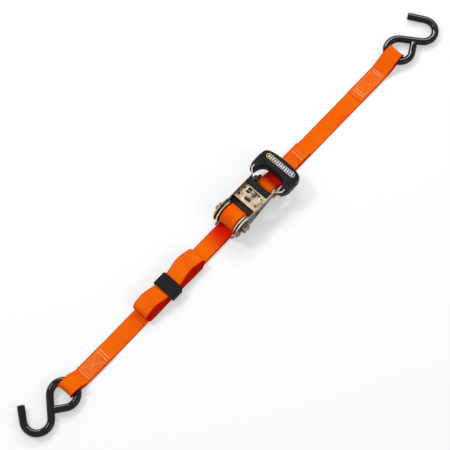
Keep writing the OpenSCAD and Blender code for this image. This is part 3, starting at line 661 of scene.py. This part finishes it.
# ---- Webbing paths, as in the solid model ----
GAP, CLEAR, HOOK_CLEAR = 0.5, 0.3, 0.4  # between plies, from the metal, and from a hook's coat
PITCH = WEB_T + GAP
SPOOL_R, TURNS, SLOT = 6.0, 2.5, 2.4
WIND_END = SPOOL_R + GAP + WEB_T / 2 + 2 * PITCH * TURNS
LEAD = 18  # degrees from an arm's end to the slot
SWEEP = 360 * TURNS - LEAD
SLOT_TURN = math.radians(270 + SWEEP + LEAD)


def wound_arm(start, half):
    """One of the two plies that are wound together, from start on, half a turn apart."""
    a = np.linspace(start, SWEEP, int((SWEEP - start) / 5))
    r = WIND_END - 2 * PITCH * a / 360
    q = np.radians(270 + a + half)
    return np.stack([r * np.cos(q), r * np.sin(q)], 1)


def winding_line():
    """In along one ply, through the spool's slot round its lip, and out along the other."""
    lip = math.sqrt(SPOOL_R ** 2 - SLOT ** 2 / 4), -SLOT / 2
    bend = turned(arc(lip, WEB_T / 2 + CLEAR, 0, 90, 6), SLOT_TURN)
    return np.concatenate([wound_arm(0, 0), bend, -bend[::-1], wound_arm(180, 180)[::-1]]) + [0, SPOOL_Z]


HOOK_R, HOOK_PITCH, ROD_R, COAT = 18.2, 47.0, 4.0, 1.2
COAT_R = ROD_R + COAT
HOOK_Z = WEB_T + HOOK_CLEAR + COAT_R
LOOP_R = COAT_R + HOOK_CLEAR + WEB_T / 2
LEFT_EYE, RIGHT_EYE = 326.0, 352.0  # the eyes' centres, to the left and the right of the spool
LEFT_LOOP, RIGHT_LOOP, SEWN, FOLD_OFF = 30.0, 44.0, 53.6, 3.0
LOWER, UPPER = WEB_T / 2, 1.5 * WEB_T  # the middles of two plies on the ground


def loop_line(seam):
    """Round the hook's eye, from the end of the sewn upper ply to the ground on the same side.
    Distances are from the eye's centre towards the buckle, to the seam's near end."""
    bar, fold = np.array([HOOK_R, HOOK_Z]), np.array([FOLD_OFF + LOOP_R + WEB_T / 2, HOOK_Z])
    away = np.array([seam, UPPER]) - bar
    a = math.degrees(math.atan2(away[1], away[0]) + math.acos(LOOP_R / np.linalg.norm(away)))
    return np.concatenate([[[seam + SEWN, UPPER], [seam + 2, UPPER]], arc(bar, LOOP_R, a, 90, 12),
                           arc(fold, LOOP_R, 90, 270, 40), [[seam, LOWER], [seam + SEWN, LOWER]]])


KEEPER_X, KEEPER_W, KEEPER_T = 128.0, 21.5, 1.5
RAMP = 26.0


def lift(x):
    """How far the keeper's lower side lifts the strap that runs over it."""
    return (KEEPER_T + 0.1) * smoothstep((KEEPER_W / 2 + RAMP - np.abs(x + KEEPER_X)) / (RAMP - 4))


def flat_size(line):
    """The webbing's width and its length along a line, in metres."""
    return WEB_W * MM, float(lengths(line)[-1]) * MM


def between_plies(x):
    """Where two plies on the ground touch, in metres."""
    return tuple(place([x, 0, WEB_T]))


# The long strap: upper ply, round the left hook, and along the ground to the spool
left = loop_line(LEFT_LOOP)
left[:, 0] -= LEFT_EYE
run_x = np.linspace(left[-1, 0] + 4, 0, 90)
long_line = np.concatenate([left, np.stack([run_x, lift(run_x) + LOWER], 1)])


def near_fold(x, reach):
    """1 at a hook's fold, 0 from reach away."""
    return lambda p: 1 - smoothstep((np.abs(p[:, 0] - x) - 4) / reach)


left_fold = near_fold(-LEFT_EYE, 34)
# Painted shade: redder at the hook's fold and where the strap runs low by the spool
main = web("long_strap", long_line, step=1.5,
           shift=lambda s, p: 1.6 * left_fold(p) + 0.25 * np.sin(p[:, 0] / 31.0) * (p[:, 0] < -190),
           width=lambda s, p: WEB_W - 1.3 * left_fold(p),
           painted_shade=lambda s, p: 0.10 * left_fold(p) + 0.8 * smoothstep((p[:, 0] + 52) / 34) * (p[:, 2] < 3))
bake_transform(main, "left_hook", "frame", start=between_plies(-303.0), end=between_plies(-297.0))
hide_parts("main_strap", "left_strap_loop")

# The short strap: upper ply, round the anchor's sleeve, along the ground and round the right hook
ANCHOR, SLEEVE_R = (66.0, 10.0), 4.5
right = loop_line(RIGHT_LOOP)[::-1]
right[:, 0] = RIGHT_EYE - right[:, 0]
short_line = np.concatenate([
    [[148, UPPER], [103, UPPER], [98, UPPER + 0.5]], arc(ANCHOR, SLEEVE_R + CLEAR + WEB_T / 2, 69, 260, 30),
    [[86, LOWER + 0.15], [92, LOWER], [right[0, 0] - 3, LOWER]], right])
right_fold = near_fold(RIGHT_EYE, 40)
# Painted shade: red where the strap runs under the grip, and a little at the hook's fold
short = web("short_strap_web", short_line, step=1.5,
            shift=lambda s, p: (1.8 * right_fold(p) + 0.9 * (1 - smoothstep((s - 52) / 8))
                                - 0.4 * smoothstep((s - 100) / 30)),
            width=lambda s, p: WEB_W - 1.2 * right_fold(p),
            painted_shade=lambda s, p: (0.9 * smoothstep((p[:, 0] - 69) / 9) * (1 - smoothstep((p[:, 0] - 92) / 10))
                               + 0.1 * right_fold(p)))
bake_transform(short, "short_strap", "right_hook", start=between_plies(309.0), end=between_plies(315.0))
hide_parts("short_strap", "right_strap_loop")


def drawn_in(eye, side, wave):
    """A fold's middle sinks into the hook's round eye, and its corners stand out with a small pucker."""
    def change(p):
        at_fold = smoothstep((side * p[:, 0] - eye + FOLD_OFF + LOOP_R) / LOOP_R)
        t = p[:, 1] / (WEB_W / 2)
        p[:, 0] += side * at_fold * (2.2 * t ** 2 - 1.0 + wave * (1 + np.sin(4.6 * t + 1.2)))
        return p
    return change


reshape(main, drawn_in(LEFT_EYE, -1, 0.15))
reshape(short, drawn_in(RIGHT_EYE, 1, 0.5))

# Painted shade: the lower part of the winding is redder
winding = web("wound_webbing", winding_line(), step=1.3, s0=40,
              painted_shade=lambda s, p: 0.25 * smoothstep((16 - p[:, 2]) / 9))
flat_size(winding_line())
finish_piece(winding, "spool", "webbing", "strap_winding")


# ---- Folded tail and keeper: the tail is rolled flat, ROUNDS times round, and thickens towards its ends ----
ROUNDS, BULGE, FOLD_X, FOLD_LEN = 3, 0.5, 124.0, 116.0
TAIL_Z = WEB_T + GAP + WEB_T / 2
END_PITCH = PITCH + BULGE
# The tail comes out from under the winding
TAIL_X0 = -math.sqrt((WIND_END + WEB_T / 2) ** 2 - (SPOOL_Z - TAIL_Z - WEB_T / 2 - CLEAR) ** 2)
FOLD_XL = -FOLD_X - FOLD_LEN / 2 + ROUNDS * END_PITCH + WEB_T / 2
FOLD_XR = -FOLD_X + FOLD_LEN / 2 - ROUNDS * END_PITCH - WEB_T / 2


def past_keeper(x, reach):
    """0 under the keeper, 1 from reach away."""
    return smoothstep((np.abs(x + KEEPER_X) - KEEPER_W / 2) / reach)


def layer_pitch(x):
    """From the middle of one layer of the roll to that of the next."""
    return PITCH + BULGE * past_keeper(x, 18)


def mid_z(x):
    """The height of the roll's middle."""
    return lift(x) + TAIL_Z + ROUNDS * layer_pitch(x)


def tail_line():
    """Centreline with, third, how far out from the middle of the roll each point lies, in rounds."""
    pts = [[x, TAIL_Z + lift(x), 0] for x in np.linspace(TAIL_X0, FOLD_XR, 30)]
    for k in range(2 * ROUNDS - 1):
        # Odd layers run back above the middle; out shrinks by a quarter round on each layer and each bend
        sign, x0, x1, start = (1, FOLD_XL, FOLD_XR, 90) if k % 2 else (-1, FOLD_XR, FOLD_XL, 270)
        for t in np.linspace(0.02, 1, 50):
            x = x0 + (x1 - x0) * t
            out = ROUNDS - k / 2 - t / 4
            pts.append([x, mid_z(x) + sign * out * layer_pitch(x), sign * out])
        if k < 2 * ROUNDS - 2:
            for t in np.linspace(0.05, 1, 20):
                a = math.radians(start - 180 * t)
                out = ROUNDS - k / 2 - 0.25 - t / 4
                x = x1 + out * END_PITCH * math.cos(a)
                pts.append([x, mid_z(x1) + out * END_PITCH * math.sin(a), out * math.sin(a)])
    return np.array(pts)


tail = tail_line()
tail_s = lengths(tail[:, :2])
ROLL_X = 62.0  # the roll lies beyond this far from the spool


def fan(s, p):
    """Upper layers lie further to the back than lower ones, most of all away from the keeper."""
    x = p[:, 0]
    height = (np.interp(s * tail_s[-1] / s[-1], tail_s, tail[:, 2]) + ROUNDS) / (2 * ROUNDS)
    spread = past_keeper(x, 26) * (1 - 0.8 * smoothstep((x + FOLD_X - 32) / 24)
                                   - 0.45 * smoothstep((-x - FOLD_X - 34) / 22))
    on_roll = smoothstep((-x - ROLL_X) / 14)
    return (x > -ROLL_X) * 0.3 + on_roll * (-2.6 + 3.9 * height + spread * (4.2 * height - 0.2))


# Painted shade: the roll's lower layers are red, and so is the strap low by the spool
folded = web("folded_tail_web", tail[:, :2], step=1.4, s0=90, shift=fan,
             painted_shade=lambda s, p: np.clip(0.95 * smoothstep((14 - p[:, 2]) / 4) * (p[:, 0] < -66) * (p[:, 2] > 3.4)
                                       + 0.8 * smoothstep((p[:, 0] + 52) / 34) * (p[:, 2] < 4), 0, 1))
finish_piece(folded, "frame", "webbing", "folded_tail")

KEEPER_TOP = float(mid_z(-KEEPER_X)) + (ROUNDS - 0.5) * PITCH + WEB_T / 2 + 0.25
KEEPER_Y0, KEEPER_Y1 = -WEB_W / 2 - 3.2, WEB_W / 2 + 2.3
KEEPER_HEM, INSET_0, INSET_1 = 2.6, 2.3, 1.2
ROUND_TOP, ROUND_LOW = 1.8, 9.0  # how far in from its sides the band begins to narrow


def keeper_inset(y, z):
    """How far the band's ends are drawn in: it is rounded in plan too, where it turns down over the straps."""
    inset = 0
    for beyond, r in ((KEEPER_Y0 - y, INSET_0), (y - KEEPER_Y1, INSET_1)):
        if z > KEEPER_TOP / 2:
            t = min(max((beyond + ROUND_TOP) / (ROUND_TOP + KEEPER_T / 2), 0), 1)
            inset += r * (1 - math.sqrt(1 - t ** 2))
        else:
            inset += r * float(smoothstep((beyond + ROUND_LOW) / (ROUND_LOW + KEEPER_T / 2)))
    return inset


def keeper():
    """A stout band, its corners rounded over, thicker at its hems."""
    middle = rounded_rectangle(KEEPER_Y0 - KEEPER_T / 2, KEEPER_Y1 + KEEPER_T / 2, KEEPER_T / 2,
                               KEEPER_TOP + KEEPER_T / 2, 4.2, 9, 1.0)
    outward = unit(middle - (middle.mean(0) + (middle - middle.mean(0)) * [0.75, 0.55]))
    section = web_section(KEEPER_W, KEEPER_T, 16)
    hem = 0.16 * smoothstep((np.abs(section[:, 0]) - KEEPER_W / 2 + KEEPER_HEM) / 0.7)
    along = lengths(np.concatenate([middle, middle[:1]]))[:-1]
    verts, st = [], []
    for (y, z), out, s in zip(middle, outward, along):
        taper = 1 - 2 * keeper_inset(y, z) / KEEPER_W
        for (across, up), h in zip(section, hem):
            stout = 1 + (h + 1.5 * out[0] ** 2) * float(smoothstep((z - 1) / 3))
            q = [y, z] + out * up * (stout if up > 0 else 1)
            verts.append([-KEEPER_X + across * taper, *q])
            st.append([s, across, 0])
    return solid("keeper_sleeve", verts, closed_faces(len(middle), len(section)), KEEPER, np.array(st) * MM)


finish_piece(keeper(), "frame", "keeper_black", "keeper_band")


# ---- Hooks: two bends of the same radius and a straight stem between them ----
STEM = math.degrees(math.acos(2 * HOOK_R / HOOK_PITCH))
TIP_A, EYE_END = 146, -125


def hook_lines(tip_len):
    """The S from the eye's closing end to the tip, about the eye's centre."""
    eye = arc((0, 0), HOOK_R, EYE_END, 180 - STEM, 60)
    bend = arc((-HOOK_PITCH, 0), HOOK_R, 360 - STEM, TIP_A, 60)
    a = math.radians(TIP_A)
    tip = bend[-1] + tip_len * np.array([math.sin(a), -math.cos(a)])
    # The closing end runs straight on from the eye until its coat all but meets the stem's
    start, stem = math.radians(EYE_END), math.radians(STEM)
    gap = eye[0] @ [math.cos(stem), -math.sin(stem)] + HOOK_R - 2 * COAT_R - 0.35
    close = eye[0] + (gap + COAT_R * 1.15) * np.array([math.sin(start), -math.cos(start)])
    return np.concatenate([[close], eye, bend, [tip]])


def hook(name, eye, turn, tip_len, mirror=False):
    """A coated hook, turned in plan about its eye and tilted down so that its bend's coat meets the ground."""
    line = turned(rounded(resample(hook_lines(tip_len), 2.0)), math.radians(turn))
    tilt = math.asin((HOOK_Z - COAT_R) / (HOOK_PITCH + 2 * HOOK_R))
    x = line[:, 0] - HOOK_R
    pts = np.stack([x * math.cos(tilt) + HOOK_R - eye, line[:, 1], HOOK_Z + x * math.sin(tilt)], 1)
    if mirror:
        pts[:, 0] *= -1
    s = lengths(pts)[-1]
    # The dipped coat is a little thicker where it drained, at the tip
    o = tube(name, pts, ([0, 4, s - 16, s - 3, s], [COAT_R - 0.1, COAT_R, COAT_R, COAT_R + 0.12, COAT_R + 0.05]),
             VINYL, sides=28, step=1.0)
    return finish_piece(o, name, "vinyl_black", name + "_coat", name + "_rod")


lit = bpy.data.collections.new("lit_by_highlight")
lit.objects.link(hook("left_hook", LEFT_EYE, -2.5, 20.6))
lit.objects.link(hook("right_hook", RIGHT_EYE, 5, 23.6, mirror=True))
HIGHLIGHT.light_linking.receiver_collection = lit


# ---- Grip, its bolt's ends and its inlay ----
def apply_modifiers(o):
    bpy.context.view_layer.update()
    mesh = bpy.data.meshes.new_from_object(o.evaluated_get(bpy.context.evaluated_depsgraph_get()))
    o.modifiers.clear()
    o.data = mesh
    return o


def offset_in(outline, d):
    """A plan outline, anticlockwise, moved inwards by d."""
    nxt, prv = np.roll(outline, -1, 0), np.roll(outline, 1, 0)
    t = unit(nxt - prv)
    return outline + d * np.stack([-t[:, 1], t[:, 0]], 1)


def closed_curve(corners, step):
    """A closed outline with its corners cut smooth, at even steps."""
    p = np.asarray(corners, float)
    for _ in range(3):
        nxt = np.roll(p, -1, 0)
        p = np.stack([0.75 * p + 0.25 * nxt, 0.25 * p + 0.75 * nxt], 1).reshape(-1, 2)
    return resample(np.concatenate([p, p[:1]]), step)[:-1]


def loft(rows):
    """Stacked outlines with as many points each, closed at both ends: points and faces."""
    verts = np.concatenate([np.column_stack([o, np.full(len(o), z)]) for o, z in rows])
    return verts, capped_faces(len(rows), len(rows[0][0]))


def pillow(outline, z0, z1, r, steps=6):
    """An outline drawn up from z0 to z1 with both long edges rounded by r."""
    q = np.radians(np.linspace(0, 90, steps + 1))
    rows = [(offset_in(outline, r * (1 - math.sin(a))), z0 + r * (1 - math.cos(a))) for a in q]
    rows += [(offset_in(outline, r * (1 - math.cos(a))), z1 - r * (1 - math.sin(a))) for a in q]
    return loft(rows)


def remeshed(name, outline, z0, z1, r, finish, voxel, smoothing):
    """A pillow that is remeshed evenly, so that it can be reshaped."""
    o = solid(name, *pillow(outline, z0, z1, r), finish)
    m = o.modifiers.new("remesh", "REMESH")
    m.mode, m.voxel_size, m.use_smooth_shade = "VOXEL", voxel * MM, True
    s = o.modifiers.new("smooth", "SMOOTH")
    s.iterations, s.factor = smoothing, 0.5
    return apply_modifiers(o)


GRIP_HALF, GRIP_LOW, GRIP_HIGH = 33.0, 14.0, 32.0
HALF_PLAN = [(84.9, 0), (84.6, 9), (82.6, 15.5), (78.4, 19.6), (72.5, 21.3), (66.4, 21.9), (65.6, 24), (65.6, 28.0),
             (67.0, 29.6), (74.6, 33.0), (80, 33.2), (94.5, 33.1), (99.5, 32.0), (103.6, 28.4), (106.0, 20),
             (107.0, 10)]
PLAN = HALF_PLAN + [(107.4, 0)] + [(x, -y) for x, y in HALF_PLAN[:0:-1]]
grip = remeshed("grip_body", closed_curve(PLAN[::-1], 1.0), GRIP_LOW, GRIP_HIGH, 4.2, GRIP, 0.55, 9)
INLAY_X, INLAY_HALF, BED_Z, RIB_X = 96.8, (4.2, 25.0), 30.9, 103.2
# The cross bolt's ends lie in round pockets in the grip's sides
BOLT_X, BOLT_Z, POCKET_R, POCKET_FLOOR = 94.6, 25.4, 4.7, 31.0
SCALLOP = 16.0


def grip_form(p):
    """Takes points of the plain pillow to the grip's shape."""
    x, y, z = p[:, 0].copy(), p[:, 1], p[:, 2].copy()
    top = smoothstep((z - 23) / 8)
    # The bar crowns along its length, the arms fall away towards the handle, the underside is drawn up
    z += top * (0.5 - 1.9 * smoothstep((82 - x) / 16) - 0.9 * (np.abs(y) / GRIP_HALF) ** 3)
    z += (1 - top) * 3.0 * smoothstep((80 - x) / 14)
    z -= top * 1.3 * smoothstep((91.4 - x) / 6.0) * smoothstep((22 - np.abs(y)) / 6)
    # A raised rib runs along the outer edge, and the inlay's bed is sunk
    rib = np.exp(-((x - RIB_X) / 1.1) ** 2) * smoothstep((27 - np.abs(y)) / 3)
    z += top * 0.55 * rib
    bed = (smoothstep((INLAY_HALF[0] + 0.4 - np.abs(x - INLAY_X)) / 0.8)
           * smoothstep((INLAY_HALF[1] + 0.4 - np.abs(y)) / 0.8))
    z = np.where((z > 29) & (bed > 0), z - bed * np.maximum(z - BED_Z, 0), z)
    pocket = smoothstep((POCKET_R + 0.4 - np.hypot(x - BOLT_X, p[:, 2] - BOLT_Z)) / 0.8) * (np.abs(y) > 29)
    y = y - np.sign(y) * pocket * np.maximum(np.abs(y) - POCKET_FLOOR, 0)
    # Shallow finger scallops under the bar
    z += (1 - top) * smoothstep((x - 84) / 5) * 0.5 * (1 + np.cos(y * TAU / SCALLOP))
    return np.stack([x, y, z], 1)


reshape(grip, grip_form)
finish_piece(grip, "handle", "grip_black", "handle_grip")


# The cross bolt's ends: how far out, half across flats and across corners, and the thread's and dish's radii
END_Y, HEX_FLAT, HEX_CORNER, THREAD_R, DISH_R = 32.0, 3.55, 3.85, 1.75, 2.9


def bolt_end(side):
    """A hexagon end with its corners turned off. The +Y one is the nut, and the bolt's end stands in it."""
    a = np.radians(np.arange(0, 360, 5))
    ring = np.stack([np.cos(a), np.sin(a)], 1)
    flats = HEX_FLAT / np.cos((a + math.pi / 6) % (math.pi / 3) - math.pi / 6)
    cut = np.minimum(flats, HEX_CORNER)
    inner, step, top = (THREAD_R, 0.03, 0.15) if side > 0 else (DISH_R, -0.1, -0.12)
    rows = [(flats, -1.6), (flats, -0.45), (cut, -0.15), (cut * 0.95, 0), (inner + 0.12, -0.02), (inner, step),
            (inner * 0.9, top), (inner * 0.4, top)]
    verts, faces = loft([(ring * np.broadcast_to(r, len(a))[:, None], END_Y + out) for r, out in rows])
    across, up, out = verts.T
    return np.stack([BOLT_X + across, side * out, BOLT_Z + up], 1), [f[::-1] for f in faces] if side > 0 else faces


for side, name in ((-1, "grip_bolt"), (1, "grip_nut")):
    end = solid(name + "_end", *bolt_end(side), METALS["dark_steel"])
    end.data.set_sharp_from_angle(angle=math.radians(25))
    finish_piece(end, "handle", "dark_steel", name)


def stadium(cx, cy, hx, hy, r, step):
    """A rounded rectangle round a middle, by its half sizes."""
    return rounded_rectangle(-hx, hx, -hy, hy, r, 10, step) + [cx, cy]


def ring_tube(name, ring, z_of, r, finish, sides):
    """A closed rounded lip that follows an outline."""
    t = unit(np.roll(ring, -1, 0) - np.roll(ring, 1, 0))
    out = np.stack([t[:, 1], -t[:, 0]], 1)
    verts = [[*(ring[k] + out[k] * r * math.cos(a)), z_of(*ring[k]) + r * 0.8 * math.sin(a)]
             for k in range(len(ring)) for a in np.linspace(0, TAU, sides, endpoint=False)]
    return solid(name, verts, closed_faces(len(ring), sides), finish)


def lip_z(x, y):
    """The lip follows the grip's top a little way outside the bed."""
    return grip_form(np.array([[x + (0.9 if x > INLAY_X else -0.9), y, GRIP_HIGH]]))[0, 2] - 0.15


# The inlay: a lip round its bed, a thin plate with round ends, a raised border and a row of plain raised bars
PLATE_Z = 31.75
lip_ring = stadium(INLAY_X, 0, 4.7, INLAY_HALF[1] + 0.6, 4.7, 0.8)
finish_piece(ring_tube("inlay_lip", lip_ring, lip_z, 0.75, GRIP, 10), "handle", "grip_black")
plate_ring = stadium(INLAY_X, 0, 3.9, INLAY_HALF[1] - 0.2, 3.9, 0.7)
plate = solid("inlay_face", *pillow(plate_ring, 30.2, PLATE_Z, 0.35, 3), INLAY)
finish_piece(plate, "handle", "inlay_plate", "grip_inlay")
bars = joined(pillow(stadium(INLAY_X, y, 2.35, 1.0, 0.5, 0.35), 31.5, 32.1, 0.15, 2)
              for y in np.linspace(-20.4, 20.4, 12))
finish_piece(solid("inlay_bars", *bars, INLAY_RAISED), "handle", "inlay_plate")
rim_ring = stadium(INLAY_X, 0, 3.55, INLAY_HALF[1] - 0.55, 3.55, 0.7)
rim = ring_tube("inlay_rim", rim_ring, lambda x, y: PLATE_Z, 0.42, INLAY_RAISED, 8)
finish_piece(rim, "handle", "inlay_plate")

# ---- Finger bar: a rounded block, its top ribbed along its length for grip ----
BAR_X, BAR_RIB = 52.05, 1.9
bar = remeshed("finger_bar_body", stadium(BAR_X, 0, 4.65, 18.2, 2.2, 0.8), 19.7, 31.9, 2.0, BAR, 0.45, 3)


def bar_form(p):
    """Takes points of the plain block to the finger bar's shape."""
    x, y, z = p[:, 0], p[:, 1], p[:, 2].copy()
    ribs = 0.16 * np.cos((x - BAR_X) * TAU / BAR_RIB) * smoothstep((16.5 - np.abs(y)) / 1.5)
    z += smoothstep((z - 28) / 3) * (ribs - 0.35 + 0.25 * np.cos(y * math.pi / 36))
    return np.stack([x, y, z], 1)


reshape(bar, bar_form)
finish_piece(bar, "drive_pawl", "bar_black", "finger_bar")


# ---- Pressed metal, with its edges broken ----
SLOTS = {s["node"]: s["material_slot"] for s in frame["record"]["subparts"]}
# Painted shade: sideways faces of the pressed plates take the darker copy of the zinc
SHADED_SIDES_NORMAL = 0.6  # faces that look more sideways than this take the darker sides


def edge_broken(node, name, width=0.22, sides=None):
    """A copy of a solid in its place, with its sharp edges bevelled and, as painted shade, a darker copy of its
    finish on its sides.
    """
    o = linked(name, NODES[node].data.copy())
    b = bmesh.new()
    b.from_mesh(o.data)
    bmesh.ops.remove_doubles(b, verts=b.verts, dist=2e-6)
    bmesh.ops.dissolve_limit(b, angle_limit=math.radians(1.0), verts=b.verts, edges=b.edges)
    b.to_mesh(o.data)
    b.free()
    for key in [a.name for a in o.data.attributes if a.name.startswith("custom_normal")]:
        o.data.attributes.remove(o.data.attributes[key])
    m = o.modifiers.new("bevel", "BEVEL")
    m.width, m.segments, m.limit_method, m.angle_limit = width * MM, 2, "ANGLE", math.radians(32)
    apply_modifiers(o)
    o.data.shade_smooth()
    o.data.set_sharp_from_angle(angle=math.radians(40))
    flat = o.modifiers.new("normals", "WEIGHTED_NORMAL")
    flat.keep_sharp, flat.weight = True, 90
    apply_modifiers(o)
    if sides is not None:
        o.data.materials.append(sides)
        o.data.polygons.foreach_set("material_index", [int(abs(q.normal.y) > SHADED_SIDES_NORMAL) for q in o.data.polygons])
    finish_piece(o, NODES[node]["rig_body"], SLOTS[node], node)


edge_broken("handle_frame", "handle_plates", sides=METALS["gold_zinc_shaded_sides"])
edge_broken("base_frame", "base_plates", sides=METALS["gold_zinc_shaded_sides"])
edge_broken("drive_pawl", "drive_pawl_plate", 0.15)

# ---- Pawl springs: coils with closed ends ----
WIRE_R, WIRE_STEPS, CLOSING = 0.5, 40, 0.8


def coil(node, name, axis, turns):
    """A coil in its solid's place."""
    co = in_millimetres(NODES[node].data)
    centre = (co.min(0) + co.max(0)) / 2
    axis = unit(np.array(axis, float))
    reach = (co @ axis).max() - (co @ axis).min()
    side = np.cross(axis, [0.0, 1.0, 0.0])
    radius = (co[:, 1].max() - co[:, 1].min()) / 2 - WIRE_R
    t = np.linspace(0, 1, WIRE_STEPS * turns)
    along = (0.45 * t + 0.55 * smoothstep(t) - 0.5) * (reach - 2 * WIRE_R - CLOSING)
    a = TAU * turns * t
    line = (centre + axis * along[:, None] + radius * (side * np.cos(a)[:, None] + np.outer(np.sin(a), [0, 1, 0])))
    o = tube(name, line, WIRE_R, METALS["spring_steel"], sides=12, step=0.35)
    tuple(place(centre + axis * reach / 2))
    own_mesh(o)
    finish_piece(o, NODES[node]["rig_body"], SLOTS[node], node)


coil("drive_spring", "drive_spring_coil", (1, 0, 0), 6)
coil("lock_spring", "lock_spring_coil", (math.cos(math.radians(30)), 0, -0.5), 5)


# ---- Stitching ----
RNG = np.random.default_rng(7)
STITCH_PITCH, STITCH_GAP, STITCH_SIDES = 3.35, 0.75, 6
# Rings along a stitch: their share of its length, their height and how wide they are against its radius
STITCH = ((0.0, -0.15, 0.35), (0.08, 0.12, 0.8), (0.28, 0.26, 1.0), (0.5, 0.30, 1.05), (0.72, 0.26, 1.0),
          (0.92, 0.12, 0.8), (1.0, -0.15, 0.35))


def stitch(p, q, r):
    """One raised stitch on two plies that lie flat."""
    d = unit(q - p)
    side, up = np.array([-d[1], d[0], 0]), np.array([0, 0, 0.8])
    verts = [np.array([*(p + (q - p) * share), 2 * WEB_T + rise]) + (side * math.cos(a) + up * math.sin(a)) * r * w
             for share, rise, w in STITCH for a in np.linspace(0, TAU, STITCH_SIDES, endpoint=False)]
    return verts, capped_faces(len(STITCH), STITCH_SIDES)


def stitches(rows, r):
    """Rows of stitches, each from (x0, y0) to (x1, y1) and a little uneven."""
    for x0, y0, x1, y1 in rows:
        a, run = np.array([x0, y0]), np.array([x1 - x0, y1 - y0])
        n = max(int(round(np.linalg.norm(run) / STITCH_PITCH)), 1)
        for k in range(n):
            jog = RNG.normal(0, 0.10, 2)
            p = a + run * (k + 0.08) / n + jog
            q = a + run * (k + 0.92 - 0.5 * STITCH_GAP / STITCH_PITCH) / n + jog + RNG.normal(0, 0.05, 2)
            yield stitch(p, q, r)


def across(x, y0=-9.4, y1=9.4):
    """A row across the strap, a little askew."""
    return x, y0, x + 0.3, y1


def along(x0, x1, y):
    return x0, y, x1, y


CROSS = [(-287, -9.2, -257.5, 9.2), (-287, 9.2, -257.5, -9.2)]
for name, rows, body in (
        ("left_seam_white", [across(x) for x in (-295.1, -289.2, -255.5, -251.1)], "frame"),
        ("left_seam_orange", [along(-286.5, -258.5, y) for y in np.linspace(-8.4, 8.4, 7)] + CROSS, "frame"),
        ("right_seam_white", [across(306.3), across(303.2, -8.5, 8.0), across(266.2), across(262.2)], "short_strap"),
        ("right_seam_orange", [across(x) for x in np.linspace(270, 299.5, 9)]
         + [along(269, 300.5, y) for y in (-9.3, 9.3)], "short_strap"),
        ("anchor_seam_white", [across(133.2)], "short_strap"),
        ("anchor_seam_orange", [across(x) for x in (138.4, 118, 122)], "short_strap")):
    finish, r = (WHITE, 0.48) if name.endswith("white") else (PALE_ORANGE, 0.40)
    finish_piece(solid(name, *joined(stitches(rows, r)), finish), body, "webbing")

[[list(c) for c in box] for box in (CAD_BOX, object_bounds())]
